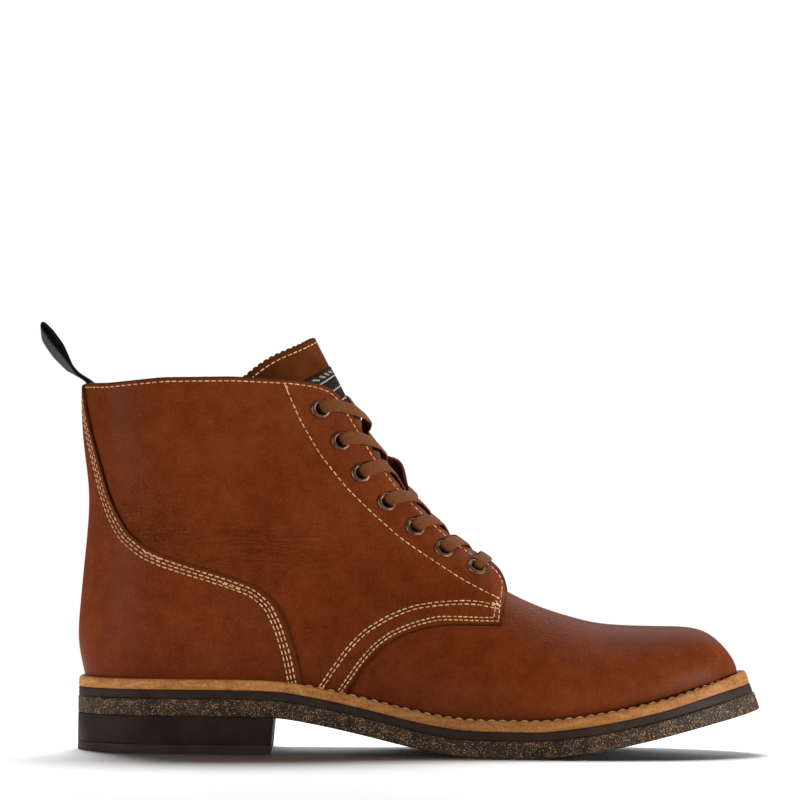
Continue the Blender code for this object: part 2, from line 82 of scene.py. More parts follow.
# %% Lamps
def lamp(name, place, target, wide, tall, power):
    """A soft lamp of a width and a height at a place, turned so that its face looks at a target."""
    made = bpy.data.objects.new(name, bpy.data.lights.new(name, "AREA"))
    made.data.shape = "RECTANGLE"
    made.data.size = wide
    made.data.size_y = tall
    made.data.energy = power
    made.location = place
    way = [t - p for t, p in zip(target, place)]
    level = math.hypot(way[0], way[1])
    made.rotation_euler = (math.atan2(level, -way[2]), 0.0, math.atan2(way[1], way[0]) - math.pi / 2)
    scene.collection.objects.link(made)
    return made


boot_lamps = (
    lamp("overhead", (0.05, 0.9, 1.5), (0.0, 0.0, 0.05), 2.3, 2.3, 39.0),
    lamp("toe_side", (2.1, -0.6, 0.22), (0.05, 0.0, 0.08), 1.0, 0.4, 68.0),
    lamp("heel_side", (-1.75, -1.25, 0.22), (-0.05, 0.0, 0.08), 1.0, 0.4, 33.0),
    lamp("front", (0.0, -2.4, 0.2), (0.0, 0.0, 0.08), 1.2, 0.35, 2.0),
)
floor_lamps = (
    lamp("floor_back", (0.0, 1.6, 0.5), (0.0, 0.0, 0.0), 1.8, 0.6, 24.0),
    lamp("floor_over", (-0.1, 0.8, 1.5), (0.0, 0.0, 0.0), 0.9, 0.6, 39.0),
)
print("lamps:", [made.name for made in boot_lamps + floor_lamps])

# %% [markdown]
# The room itself is dim in front of the boot and brighter behind it, so that its edges catch light and
# its side keeps its depth of colour. The camera sees a plain white backdrop in its place.

# %% Surround
ROOM_FRONT, ROOM_BACK, ROOM_TURN = 0.02, 0.26, (-0.1, 0.5)
surround = bpy.data.worlds.new("white_room")
surround.use_nodes = True
room = surround.node_tree
ray = room.nodes.new("ShaderNodeLightPath")
heading = room.nodes.new("ShaderNodeTexCoord")
depth = room.nodes.new("ShaderNodeSeparateXYZ")
wall = room.nodes.new("ShaderNodeMapRange")
wall.interpolation_type = "SMOOTHSTEP"
for socket, value in zip(("From Min", "From Max", "To Min", "To Max"), (*ROOM_TURN, ROOM_FRONT, ROOM_BACK)):
    wall.inputs[socket].default_value = value
level = room.nodes.new("ShaderNodeMapRange")
room.links.new(heading.outputs["Object"], depth.inputs["Vector"])
room.links.new(depth.outputs["Y"], wall.inputs["Value"])
room.links.new(wall.outputs["Result"], level.inputs["To Min"])
room.links.new(ray.outputs["Is Camera Ray"], level.inputs["Value"])
room.links.new(level.outputs["Result"], room.nodes["Background"].inputs["Strength"])
room.nodes["Background"].inputs["Color"].default_value = (1.0, 1.0, 1.0, 1.0)
scene.world = surround
print("surround:", surround.name, "from", ROOM_FRONT, "to", ROOM_BACK)

# %% [markdown]
# ## Small tools
# Everything that follows is drawn from a few tables of measured points. A curve through a table is made
# by a cubic that never swings past its points, and is then averaged a little so that no facet shows in
# the sheen.


# %% Curves
def table(names, *rows):
    """Columns of numbers by name; the first column is the key that the others are read by."""
    return dict(zip(names.split(), (np.array(column, float) for column in zip(*rows))))


def smooth(u):
    """A step from 0 to 1 that starts and ends level: 3u^2 - 2u^3."""
    u = np.clip(u, 0.0, 1.0)
    return u * u * (3.0 - 2.0 * u)


def through(keys, values, at):
    """A cubic between each two points; its slope at one is the harmonic mean of the slopes beside it."""
    at = np.clip(np.asarray(at, float), keys[0], keys[-1])
    gaps = np.diff(keys)
    slopes = np.diff(values) / gaps
    before, after = slopes[:-1], slopes[1:]
    heavy, light = 2 * gaps[1:] + gaps[:-1], gaps[1:] + 2 * gaps[:-1]
    mean = np.divide(before * after * (heavy + light), heavy * after + light * before,
                     out=np.zeros_like(before), where=before * after > 0)
    tangents = np.concatenate(([slopes[0]], mean, [slopes[-1]]))
    i = np.clip(np.searchsorted(keys, at, side="right") - 1, 0, len(gaps) - 1)
    u = (at - keys[i]) / gaps[i]
    rise = values[i] + (values[i + 1] - values[i]) * smooth(u)
    return rise + gaps[i] * u * (1 - u) * (tangents[i] * (1 - u) - tangents[i + 1] * u)


FINE = 0.25


def averaged(line, reach):
    """Each point of an even line replaced by a bell-weighted mean of its neighbours; the ends stay put."""
    count = int(3 * reach / FINE)
    long = np.concatenate((2 * line[0] - line[count:0:-1], line, 2 * line[-1] - line[-2:-count - 2:-1]))
    weights = np.exp(-0.5 * (np.arange(-count, count + 1) * FINE / reach) ** 2)
    weights = weights / weights.sum()
    return np.stack([np.convolve(column, weights, "valid") for column in long.T], 1)


def soft_curve(rows, column, reach):
    """A table's column as a function: the cubic through its points, averaged over a reach in mm."""
    keys = next(iter(rows.values()))
    fine = np.arange(keys[0], keys[-1] + FINE, FINE)
    line = averaged(np.stack((fine, through(keys, rows[column], fine)), 1), reach)

    def curve(at):
        """The averaged line, read at any places."""
        return np.interp(at, line[:, 0], line[:, 1])

    return curve


print("curves are read every", FINE, "mm")

# %% [markdown]
# A seam or an edge is a path: points in the side view, divided evenly and softened. Blender's own curve
# objects could hold it, but a plain array is measured, cut or laid on a surface in one line of numpy.


# %% Paths
def lengths(path):
    """Distance along a path from its start to each of its points."""
    return np.concatenate(([0.0], np.cumsum(np.linalg.norm(np.diff(path, axis=0), axis=1))))


def picked(where, run, rows):
    """Rows of numbers read at distances along a run, each on the straight line between its neighbours."""
    return np.stack([np.interp(where, run, column) for column in rows.T], -1)


def flowing(points, reach):
    """A path through points: straight lines between them, evenly divided and averaged."""
    points = np.asarray(points, float)
    run = lengths(points)
    return averaged(picked(np.linspace(0.0, run[-1], int(run[-1] / FINE) + 2), run, points), reach)


def along(path, fraction):
    """Points at fractions of a path's length."""
    run = lengths(path)
    return picked(np.asarray(fraction) * run[-1], run, path)


def spaced(count):
    """Numbers from 0 to 1 that crowd together at both ends: (1 - cos(pi s)) / 2."""
    return (1 - np.cos(np.pi * np.linspace(0.0, 1.0, count + 1))) / 2


def unit(vectors):
    """Vectors divided by their own length."""
    return vectors / np.maximum(np.linalg.norm(vectors, axis=-1, keepdims=True), 1e-9)


print("middle of a path from 0 to 2:", along(np.array(((0.0, 0.0), (2.0, 0.0))), 0.5))

# %% [markdown]
# A piece is a set of points in a grid and the four-cornered faces between them. Each piece is closed: a
# leather panel has an outer skin, an inner skin and a rim, so it can be seen, cut or printed from any
# side.


# %% Meshes from grids
def cells(index):
    """Four corners of every cell of a grid of point numbers."""
    corners = (index[..., :-1, :-1], index[..., 1:, :-1], index[..., 1:, 1:], index[..., :-1, 1:])
    return np.stack(corners, -1).reshape(-1, 4)


def make(name, points, faces, finishes, slot, stands_for=(), face_finish=None, around=None, sharp=50.0,
         **shades):
    """One object from arrays, in place; points that fall together are joined and faces turned outward."""
    mesh = bpy.data.meshes.new(name)
    points = (points.reshape(-1, 3) - (MIDDLE_X, 0.0, 0.0)) * MM
    mesh.vertices.add(len(points))
    mesh.vertices.foreach_set("co", points.astype(np.float32).ravel())
    corners = faces != np.roll(faces, 1, 1)
    rings = faces[corners]
    sizes = corners.sum(1)
    mesh.loops.add(len(rings))
    mesh.loops.foreach_set("vertex_index", rings.astype(np.int32))
    mesh.polygons.add(len(faces))
    mesh.polygons.foreach_set("loop_start", (np.cumsum(sizes) - sizes).astype(np.int32))
    mesh.update(calc_edges=True)
    for finish in finishes:
        mesh.materials.append(finish)
    if face_finish is not None:
        mesh.polygons.foreach_set("material_index", face_finish.astype(np.int32))
    for shade, values in shades.items():
        carrier = mesh.attributes.new(shade, "FLOAT", "POINT")
        carrier.data.foreach_set("value", values.astype(np.float32).ravel())
    if around is not None:
        weave = mesh.uv_layers.new(name="weave")
        weave.data.foreach_set("uv", around.reshape(-1, 2)[rings].astype(np.float32).ravel())
    bm = bmesh.new()
    bm.from_mesh(mesh)
    bmesh.ops.remove_doubles(bm, verts=bm.verts, dist=2e-6)
    bmesh.ops.dissolve_degenerate(bm, edges=bm.edges, dist=1e-7)
    bmesh.ops.recalc_face_normals(bm, faces=bm.faces)
    open_edges = sum(not edge.is_manifold for edge in bm.edges)
    bm.to_mesh(mesh)
    bm.free()
    mesh.polygons.foreach_set("use_smooth", np.ones(len(mesh.polygons), bool))
    mesh.set_sharp_from_angle(angle=math.radians(sharp))
    piece = bpy.data.objects.new(name, mesh)
    scene.collection.objects.link(piece)
    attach(piece, "root")
    if stands_for:
        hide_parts(*stands_for)
    print(f"{name}: {len(mesh.polygons)} faces, {open_edges} open edges")
    return piece


print("cells in a grid of 3 by 3 points:", len(cells(np.arange(9).reshape(3, 3))))

# %% [markdown]
# A leather panel is two skins and a rim; a layer of the sole or a cord is a stack of rings with two lids.
# A solidify modifier could thicken a panel, but then its edges could not be rounded and toned one by one.


# %% Panels, walls and slabs
def panel(outer, inner, keep=None):
    """Points and faces of a closed panel: two skins over the same grid and a rim round every free edge."""
    count = outer[..., 0].size
    front = cells(np.arange(count).reshape(outer.shape[:2]))
    if keep is not None:
        front = front[keep.ravel()]
    sides = np.stack((front, np.roll(front, -1, 1)), -1).reshape(-1, 2)
    first, uses = np.unique(np.sort(sides, 1), axis=0, return_index=True, return_counts=True)[1:]
    free = sides[first[uses == 1]]
    rim = np.stack((free[:, 1], free[:, 0], free[:, 0] + count, free[:, 1] + count), 1)
    faces = np.concatenate((front, front[:, ::-1] + count, rim))
    kind = np.repeat((0, 1, 2), (len(front), len(front), len(rim)))
    return np.concatenate((outer.reshape(-1, 3), inner.reshape(-1, 3))), faces, kind


def skins(outer, inner=0.0):
    """Values for a panel's two skins: those of the outer points, then those of the inner ones."""
    return np.concatenate((outer, np.broadcast_to(inner, outer.shape)))


def wall_faces(steps, around):
    """Faces between rings of points that close round: a number of rings with the same count in each."""
    index = np.arange(steps * around).reshape(steps, around)
    return cells(np.concatenate((index, index[:, :1]), 1))


def slab_faces(rings):
    """Faces of a surface of rings, closed round, with a lid of strips across the first and the last ring."""
    steps, around = rings.shape[:2]
    there = np.arange(around // 2 + 1)
    home = (around - there) % around
    lid = np.stack((there[:-1], there[1:], home[1:], home[:-1]), 1)
    return np.concatenate((wall_faces(steps, around), lid, lid + (steps - 1) * around))


print("a cube's wall has", len(wall_faces(2, 4)), "faces")

# %% [markdown]
# ## Finishes
# A finish is a small tree of nodes. Patterns are read from Object coordinates, so the grain lies evenly
# on every panel, whatever its shape. Leather is a body colour with slow clouds of dye, a fine grain that
# only catches the light, and a darker tone where an edge is cut or rubbed or where shade is painted on,
# which the meshes carry as an attribute named tone.


# %% Colours and nodes
def colour(red, green, blue):
    """A screen colour, 0 to 255, as linear light: ((c + 0.055) / 1.055)^2.4, a straight line near black."""
    screen = np.array((red, green, blue)) / 255.0
    light = np.where(screen < 0.04045, screen / 12.92, ((screen + 0.055) / 1.055) ** 2.4)
    return (*light.tolist(), 1.0)


def new_finish(name, **sockets):
    """A material with its shader's plain values set by socket name, with _ for a space."""
    made = bpy.data.materials.new(name)
    made.use_nodes = True
    shader = made.node_tree.nodes["Principled BSDF"]
    for socket, value in sockets.items():
        shader.inputs[socket.replace("_", " ")].default_value = value
    return made, shader


def node(made, kind, inputs=(), out=0, **settings):
    """One node; an input that is given a socket is linked to it, any other is set to its value."""
    new = made.node_tree.nodes.new("ShaderNode" + kind)
    for key, value in settings.items():
        setattr(new, key, value)
    for key, value in dict(inputs).items():
        if isinstance(value, bpy.types.NodeSocket):
            made.node_tree.links.new(value, new.inputs[key])
        else:
            new.inputs[key].default_value = value
    return new.outputs[out]


def link(made, source, shader, socket):
    """Joins a node's output to one socket of the shader."""
    made.node_tree.links.new(source, shader.inputs[socket])


def object_place(made):
    """The place of a point in the object's own frame."""
    return node(made, "TexCoord", out="Object")


def carried(made, name):
    """A number that the mesh carries for each of its points."""
    return node(made, "Attribute", out="Fac", attribute_name=name)


def maths(made, operation, first, second=0.0):
    """One sum, product or comparison of two factors."""
    return node(made, "Math", {0: first, 1: second}, operation=operation)


print("mid grey on a screen is", round(colour(128, 128, 128)[0], 3), "in linear light")

# %% [markdown]
# Every finish is put together from the same few steps: noises, a weighted sum of them, a ramp of colours
# and a bump. The nodes could be placed one by one, but with a helper for each step a finish reads as a
# recipe.


# %% Patterns and mixtures
def noise(made, place, scale, detail=3.0, roughness=0.55):
    """Cloudy noise with so many clouds to the metre, broken up by finer ones."""
    settings = {"Vector": place, "Scale": scale, "Detail": detail, "Roughness": roughness}
    return node(made, "TexNoise", settings)


def ramp(made, factor, *stops):
    """A factor turned into a colour that passes through stops, each of them a place and a screen colour."""
    out = node(made, "ValToRGB", {"Fac": factor})
    bar = out.node.color_ramp
    for place, shade in stops[1:-1]:
        bar.elements.new(place)
    for element, (place, shade) in zip(bar.elements, stops):
        element.position = place
        element.color = colour(*shade)
    return out


def mix(made, factor, first, second):
    """One colour passing into another by a factor."""
    return node(made, "Mix", {0: factor, 6: first, 7: second}, out=2, data_type="RGBA")


def sums(made, *terms):
    """A weighted sum of heights or factors: each term is a socket and its weight."""
    total = None
    for source, weight in terms:
        part = maths(made, "MULTIPLY", source, weight)
        total = part if total is None else maths(made, "ADD", total, part)
    return total


def spread(made, factor, low, high, start=0.0, end=1.0):
    """A factor between start and end stretched to run from low to high."""
    return node(made, "MapRange", {0: factor, 1: start, 2: end, 3: low, 4: high})


def bumpy(made, shader, height, depth, strength=1.0):
    """Turns a height into a bump of a real depth, in metres."""
    bump = node(made, "Bump", {"Height": height, "Distance": depth, "Strength": strength})
    link(made, bump, shader, "Normal")


def stretched(made, place, *scale):
    """Places scaled along x, y and z, each by a number of its own."""
    return node(made, "Mapping", {"Vector": place, "Scale": scale})


print("steps:", [step.__name__ for step in (noise, ramp, mix, sums, spread, bumpy, stretched)])

# %% [markdown]
# ### Leather
# Waxed leather is never one brown: the dye lies in clouds and specks, bent places are pebbled, and the
# ankle shows fine fold lines. These could be modelled, but at a tenth of a millimetre they are only seen
# by how they turn the light. So they are colour and bump: a bump for their relief, and a painted shade,
# a darker colour in the pebbles' hollows and along the fold lines, for the shadow in them. They are led
# by three numbers that the meshes carry: tone, bend and fold.


# %% Leather
def leather(name, dark, body, light, edge, rough=(0.4, 0.52), shine=0.032):
    """A sum of clouds, blotches and specks chooses the brown. Bend brings out the pebbles of a cell pattern,
    with painted shade in their hollows; fold the thin lines where a stretched noise passes its middle, also
    darkened as painted shade; and tone a cut edge's darker colour or painted shade."""
    made, shader = new_finish(name, Specular_IOR_Level=shine)
    place = object_place(made)
    clouds = noise(made, place, 19.0, 5.0, 0.6)
    blotches = noise(made, place, 150.0, 4.0, 0.65)
    specks = noise(made, place, 1000.0, 2.0)
    dye = sums(made, (clouds, 0.38), (blotches, 0.3), (specks, 0.32))
    brown = ramp(made, dye, (0.38, dark), (0.5, body), (0.62, light))
    bent = carried(made, "bend")
    folds = noise(made, stretched(made, place, 75.0, 75.0, 520.0), 1.0, 2.0, 0.5)
    off = maths(made, "ABSOLUTE", maths(made, "SUBTRACT", folds, 0.5))
    folded = carried(made, "fold")
    lines = maths(made, "MULTIPLY", spread(made, off, 1.0, 0.0, 0.0, 0.05), folded)
    wander = node(made, "TexNoise", {"Vector": place, "Scale": 260.0, "Detail": 2.0}, out=1)
    wide = stretched(made, place, 400.0, 400.0, 600.0)
    wavy = node(made, "VectorMath", {0: wander, 1: (1.1, 1.1, 1.1), 2: wide}, operation="MULTIPLY_ADD")
    pattern = {"Vector": wavy, "Scale": 1.0, "Randomness": 1.0}
    pores = node(made, "TexVoronoi", pattern, feature="DISTANCE_TO_EDGE")
    pebbles = spread(made, pores, 1.0, 0.0, 0.0, 0.36)
    hollows_and_shade = maths(made, "MULTIPLY", pebbles, spread(made, bent, 0.06, 1.0))
    # painted shade: the pebbles' hollows and the fold lines are mixed towards the edge colour, for the shadow
    # in them
    lined = mix(made, sums(made, (lines, 0.3), (hollows_and_shade, 0.08)), brown, colour(*edge))
    wear_and_shade = carried(made, "tone")
    # tone mixes in the edge colour: a cut or rubbed edge's own colour, and painted shade above the welt and
    # beside the counter's edge
    link(made, mix(made, wear_and_shade, lined, colour(*edge)), shader, "Base Color")
    fibres = noise(made, place, 2200.0, 3.0)
    grain = sums(made, (hollows_and_shade, -3.6), (fibres, 0.25), (blotches, 0.5), (lines, -1.2))
    bumpy(made, shader, grain, 0.00026, 0.7)
    link(made, spread(made, blotches, *rough, 0.3, 0.7), shader, "Roughness")
    return made


brown_leather = leather("brown_leather", (84, 34, 11), (98, 42, 15), (109, 50, 20), (40, 14, 5))
heel_leather = leather("heel_leather", (85, 35, 13), (100, 43, 18), (112, 52, 24), (58, 30, 10))
lining_leather = leather("lining_leather", (150, 100, 60), (172, 120, 76), (188, 138, 92), (120, 76, 42),
                         (0.6, 0.75), 0.1)
# the dark facing finish is partly the leather's own flesh side and partly painted shade inside the curled
# facing
facing_flesh_and_shade = leather("facing_flesh_and_shade", (62, 29, 13), (78, 38, 18), (96, 50, 26), (40, 17, 7),
                         (0.6, 0.75), 0.05)
print("leathers:", brown_leather.name, heel_leather.name, lining_leather.name, facing_flesh_and_shade.name)

# %% [markdown]
# ### Suede and thread
# The tongue is hide with its nap outside: no gloss, only a faint sheen from the tips of its fibres. The
# seam thread is waxed and laid from two plies. Both could be real strands, but these would be thinner
# than a pixel, so noise and a wave stand for them.


# %% Suede and thread
def suede(name, dark, body, light):
    """A napped hide: soft colour clouds, fine fibres and a sheen in place of gloss."""
    made, shader = new_finish(name, Roughness=0.95, Specular_IOR_Level=0.05, Sheen_Weight=0.04,
                              Sheen_Roughness=0.45, Sheen_Tint=colour(*light))
    place = object_place(made)
    clouds = noise(made, place, 60.0, 5.0, 0.65)
    fibres = noise(made, place, 1800.0, 3.0, 0.7)
    nap = sums(made, (clouds, 0.65), (fibres, 0.35))
    body_colour = ramp(made, nap, (0.36, dark), (0.5, body), (0.64, light))
    wear_and_shade = carried(made, "tone")
    link(made, mix(made, wear_and_shade, body_colour, colour(*dark)), shader, "Base Color")
    bumpy(made, shader, fibres, 0.00025, 0.6)
    return made


def thread(name, dark, light):
    """Waxed thread: two plies that show as slanting bands, a little darker here and there."""
    made, shader = new_finish(name, Roughness=0.6, Specular_IOR_Level=0.15)
    place = object_place(made)
    shift = noise(made, place, 300.0, 2.0)
    link(made, ramp(made, shift, (0.35, dark), (0.62, light)), shader, "Base Color")
    plies = node(made, "TexWave", {"Vector": place, "Scale": 900.0, "Distortion": 1.0}, out=1,
                 bands_direction="DIAGONAL")
    bumpy(made, shader, plies, 0.0001, 0.5)
    return made


tongue_suede = suede("tongue_nap", (58, 26, 7), (78, 36, 11), (96, 46, 16))
seam_thread = thread("seam_thread", (176, 138, 97), (214, 180, 136))
welt_thread = thread("welt_thread", (160, 112, 66), (196, 148, 98))
print("soft finishes:", tongue_suede.name, seam_thread.name, welt_thread.name)

# %% [markdown]
# ### Welt and rubber
# The welt is undyed leather, cut so that its fibres show as streaks. The layers under it are moulded
# rubber, and the outsole has bits of cork pressed into it. An image could show them; a cell pattern in
# which only small cells of some drifts are coloured needs none and never repeats.


# %% Welt and rubber
def welt_finish():
    """Undyed leather cut across its fibres: long streaks, specks and a pale burnished face."""
    made, shader = new_finish("undyed_leather", Specular_IOR_Level=0.12)
    place = object_place(made)
    streaks = noise(made, stretched(made, place, 170.0, 170.0, 700.0), 1.0, 4.0, 0.6)
    specks = noise(made, place, 1300.0, 3.0, 0.7)
    clouds = noise(made, place, 70.0, 4.0)
    fibre = sums(made, (streaks, 0.34), (specks, 0.44), (clouds, 0.22))
    tan = ramp(made, fibre, (0.37, (118, 70, 30)), (0.5, (163, 108, 56)), (0.63, (192, 140, 86)))
    wear_and_shade = carried(made, "tone")
    # tone mixes in a dark brown, among it painted shade where the welt meets the upper
    link(made, mix(made, wear_and_shade, tan, colour(92, 52, 22)), shader, "Base Color")
    link(made, spread(made, clouds, 0.5, 0.68, 0.3, 0.7), shader, "Roughness")
    bumpy(made, shader, sums(made, (streaks, 0.6), (specks, 0.4)), 0.00025, 0.6)
    return made


def rubber(name, dark, light, rough=(0.5, 0.7), flecks=None):
    """Moulded rubber, nearly black; cork flecks are the small cells of a cell pattern, kept in drifts."""
    made, shader = new_finish(name, Specular_IOR_Level=0.1)
    place = object_place(made)
    dust = noise(made, place, 120.0, 4.0, 0.6)
    fine = noise(made, place, 2200.0, 2.0)
    base = ramp(made, dust, (0.35, dark), (0.68, light))
    if flecks:
        pattern = {"Vector": place, "Scale": 2100.0, "Randomness": 1.0}
        small = maths(made, "LESS_THAN", node(made, "TexVoronoi", pattern), 0.42)
        lot = node(made, "SeparateColor", {0: node(made, "TexVoronoi", pattern, out=1)})
        drift = noise(made, place, 230.0, 3.0, 0.6)
        wanted = maths(made, "LESS_THAN", lot, spread(made, drift, 0.1, 0.7, 0.36, 0.66))
        warm = ramp(made, noise(made, place, 1300.0, 1.0), *zip((0.38, 0.5, 0.62), flecks))
        base = mix(made, maths(made, "MULTIPLY", wanted, small), base, warm)
    link(made, base, shader, "Base Color")
    link(made, spread(made, dust, *rough, 0.3, 0.7), shader, "Roughness")
    bumpy(made, shader, sums(made, (fine, 0.6), (dust, 0.4)), 0.0002, 0.5)
    return made


welt_leather = welt_finish()
midsole_rubber = rubber("plain_rubber", (36, 25, 20), (48, 35, 28))
outsole_rubber = rubber("flecked_rubber", (38, 29, 25), (52, 41, 36),
                        flecks=((104, 78, 52), (152, 110, 48), (172, 146, 112)))
heel_rubber = rubber("block_rubber", (27, 18, 15), (37, 27, 22))
lift_rubber = rubber("lift_rubber", (36, 27, 24), (48, 38, 34))
print("sole finishes:", welt_leather.name, midsole_rubber.name, outsole_rubber.name)

# %% [markdown]
# ### Metal and weaves
# The eyelets are lacquered brass, rubbed bright here and there. Lace, pull loop and label are woven.
# Yarns could be modelled one by one, but so fine a weave is only seen as a ripple: two crossed waves on
# the piece's own map.


# %% Metal and weaves
def old_brass(name):
    """Antiqued metal: dark brown lacquer that is rubbed bright in places."""
    made, shader = new_finish(name, Metallic=1.0)
    place = object_place(made)
    rub = noise(made, place, 500.0, 3.0, 0.6)
    link(made, ramp(made, rub, (0.36, (84, 56, 42)), (0.66, (122, 90, 70))), shader, "Base Color")
    link(made, spread(made, rub, 0.6, 0.48, 0.3, 0.7), shader, "Roughness")
    bumpy(made, shader, rub, 0.0001, 0.3)
    return made


def woven(name, dark, light, across, sheen, depth, fine=700.0):
    """A flat weave on the piece's own map: crossed waves, one along the length and one across it."""
    made, shader = new_finish(name, Roughness=0.9, Sheen_Weight=sheen, Specular_IOR_Level=0.05)
    weave = node(made, "UVMap", uv_map="weave")
    place = object_place(made)
    ribs = node(made, "TexWave", {"Vector": weave, "Scale": across}, out=1, bands_direction="X")
    rows = node(made, "TexWave", {"Vector": weave, "Scale": across * 0.8}, out=1, bands_direction="Y")
    yarn = maths(made, "MULTIPLY", ribs, rows)
    fuzz = noise(made, place, fine, 4.0, 0.65)
    shade = sums(made, (yarn, 0.15), (fuzz, 0.85))
    link(made, ramp(made, shade, (0.25, dark), (0.65, light)), shader, "Base Color")
    bumpy(made, shader, sums(made, (yarn, 0.6), (fuzz, 0.4)), depth, 0.6)
    return made


eyelet_brass = old_brass("eyelet_brass")
lace_cotton = woven("lace_cotton", (87, 48, 24), (110, 64, 34), 2.6, 0.05, 0.0001)
loop_webbing = woven("grey_webbing", (40, 33, 29), (66, 57, 51), 1.2, 0.1, 0.00015, 1800.0)
# the pull loop's inner face: a near-black copy of the webbing that paints the shade inside the loop
loop_inside_shade = woven("shaded_webbing", (10, 7, 6), (24, 19, 17), 1.2, 0.05, 0.00015, 1800.0)


def label_finish():
    """A close dark weave with light lines where the mesh's tone says so."""
    made, shader = new_finish("label_weave", Roughness=0.85, Specular_IOR_Level=0.05)
    place = object_place(made)
    yarn = noise(made, place, 1600.0, 2.0, 0.6)
    ground = ramp(made, yarn, (0.35, (20, 17, 15)), (0.65, (42, 37, 33)))
    lined = carried(made, "tone")
    link(made, mix(made, lined, ground, colour(172, 160, 146)), shader, "Base Color")
    bumpy(made, shader, yarn, 0.0002, 0.5)
    return made


label_weave = label_finish()
print("small finishes:", eyelet_brass.name, lace_cotton.name, loop_webbing.name, label_weave.name)

# %% [markdown]
# ## Floor
# The floor is a broad disc, pale and plain, that catches the boot's soft shadow. It thins out towards
# its rim, so that floor and surround run into each other without a line. A curved backdrop would do the
# same, but it would also throw light back at the boot.

# %% Floor
FLOOR_NEAR, FLOOR_FAR = 0.36, 0.62
floor_paint, floor_shader = new_finish("pale_floor", Base_Color=(0.95, 0.95, 0.95, 1.0), Roughness=0.9,
                                       Specular_IOR_Level=0.1)
floor_place = object_place(floor_paint)
floor_reach = node(floor_paint, "VectorMath", {0: floor_place}, out="Value", operation="LENGTH")
floor_fade = spread(floor_paint, floor_reach, 0.0, 1.0, FLOOR_NEAR, FLOOR_FAR)
floor_clear = node(floor_paint, "BsdfTransparent")
floor_mixed = node(floor_paint, "MixShader", {0: floor_fade, 1: floor_shader.outputs[0], 2: floor_clear})
link(floor_paint, floor_mixed, floor_paint.node_tree.nodes["Material Output"], "Surface")
turn = np.linspace(0.0, 2 * np.pi, 97)[None, :-1]
rings = np.array((0.0, 0.3, 0.45, FLOOR_FAR))[:, None]
disc = np.stack((rings * np.cos(turn), rings * np.sin(turn), 0.0 * rings * turn), -1)
floor_mesh = bpy.data.meshes.new("floor")
floor_mesh.from_pydata(disc.reshape(-1, 3).tolist(), [], wall_faces(*disc.shape[:2]).tolist())
floor_mesh.materials.append(floor_paint)
floor = bpy.data.objects.new("floor", floor_mesh)
scene.collection.objects.link(floor)
print("floor of", len(floor_mesh.polygons), "faces")

# %% [markdown]
# Light that is right for dark leather leaves the floor grey and its shadow hard. The lamps could be a
# compromise between the two; here light linking tells each lamp what it lights, so both can be set on
# their own.

# %% Which lamp lights what
floor_only = bpy.data.collections.new("floor_only")
floor_only.objects.link(floor)
for made in floor_lamps:
    made.light_linking.receiver_collection = floor_only
all_but_floor = bpy.data.collections.new("all_but_floor")
all_but_floor.objects.link(floor)
all_but_floor.collection_objects[0].light_linking.link_state = "EXCLUDE"
for made in boot_lamps:
    made.light_linking.receiver_collection = all_but_floor
print("lamps on the boot:", len(boot_lamps), "and on the floor:", len(floor_lamps))

# %% [markdown]
# ## The last
# A shoemaker pulls leather over a wooden last. Here the last is two smooth half-width functions of the
# side view: one for the vamp, which closes round the toe, and one for the quarters, which close round
# the heel. A crosswise section is a rounded arch, (1 - t^n)^(1/n), that stands on the feather line and
# ends at the ridge.

# %% Measures of the sole and the last
SOLE_LENGTH = 306.6
HEEL_ROUND, HEEL_SQUARENESS = 40.0, 2.2
TOE_ROUND, TOE_SQUARENESS = 95.0, 2.0
OUTSOLE, MIDSOLE, WELT = 7.7, 4.0, 4.7
FEATHER = OUTSOLE + MIDSOLE + WELT + 0.2
LEDGE = 6.0
QUARTER = 1.8
LAST_TOE, LAST_TOE_ROUND = 297.2, 91.0
TOE_BOX, TOE_BOX_SQUARENESS = 32.0, 2.2
LAST_HEEL_ROUND, LAST_HEEL_SQUARENESS = 42.0, 2.2
BULGE, BULGE_HEIGHT = 2.8, 20.0
CENTRE_RISE = 50.0

PLAN = table(
    "x half_width centre ridge_centre crown",
    (0.0, 36.3, 0.7, 0.7, 2.4),
    (43.0, 36.3, 0.7, 0.7, 2.4),
    (128.0, 34.8, -2.3, 0.7, 2.4),
    (168.0, 41.5, -2.8, 0.7, 2.3),
    (203.0, 50.0, -1.8, 1.2, 2.05),
    (227.0, 52.4, 0.7, 2.6, 2.0),
    (265.0, 52.4, 4.0, 5.0, 2.1),
    (306.6, 52.4, 7.2, 7.2, 2.2),
)
TREAD = table(
    "x z",
    (0.0, 16.6), (70.0, 16.6), (91.0, 16.1), (105.0, 14.0), (128.0, 9.2), (142.0, 5.9), (157.0, 2.6),
    (168.0, 0.8), (178.0, 0.0), (206.0, 0.0), (220.0, 1.4), (237.0, 3.9), (261.0, 9.0), (285.0, 15.2),
    (306.6, 20.6),
)
BACK = table(
    "z x",
    (20.0, 7.5), (33.0, 5.2), (50.0, 1.8), (75.0, 3.5), (112.0, 6.2), (140.0, 3.1), (154.0, 2.2),
    (175.0, 2.2),
)
QUARTER_RIDGE = table(
    "x z",
    (-20.0, 480.0), (60.0, 290.0), (100.0, 203.0), (108.4, 185.0), (118.9, 166.2), (126.2, 152.3),
    (134.2, 138.0), (145.3, 121.5), (156.8, 109.1), (167.7, 98.6), (178.9, 90.8), (186.4, 86.6),
    (193.5, 83.4), (330.0, 30.0),
)
VAMP_HEIGHT = table(
    "x z",
    (0.0, 240.0), (120.0, 120.0), (150.0, 90.0), (176.0, 68.0), (193.0, 55.6), (208.0, 48.8), (220.0, 43.7),
    (233.0, 38.7), (246.0, 35.3), (258.0, 32.4), (271.0, 29.2), (284.0, 27.0), (296.0, 20.0),
)
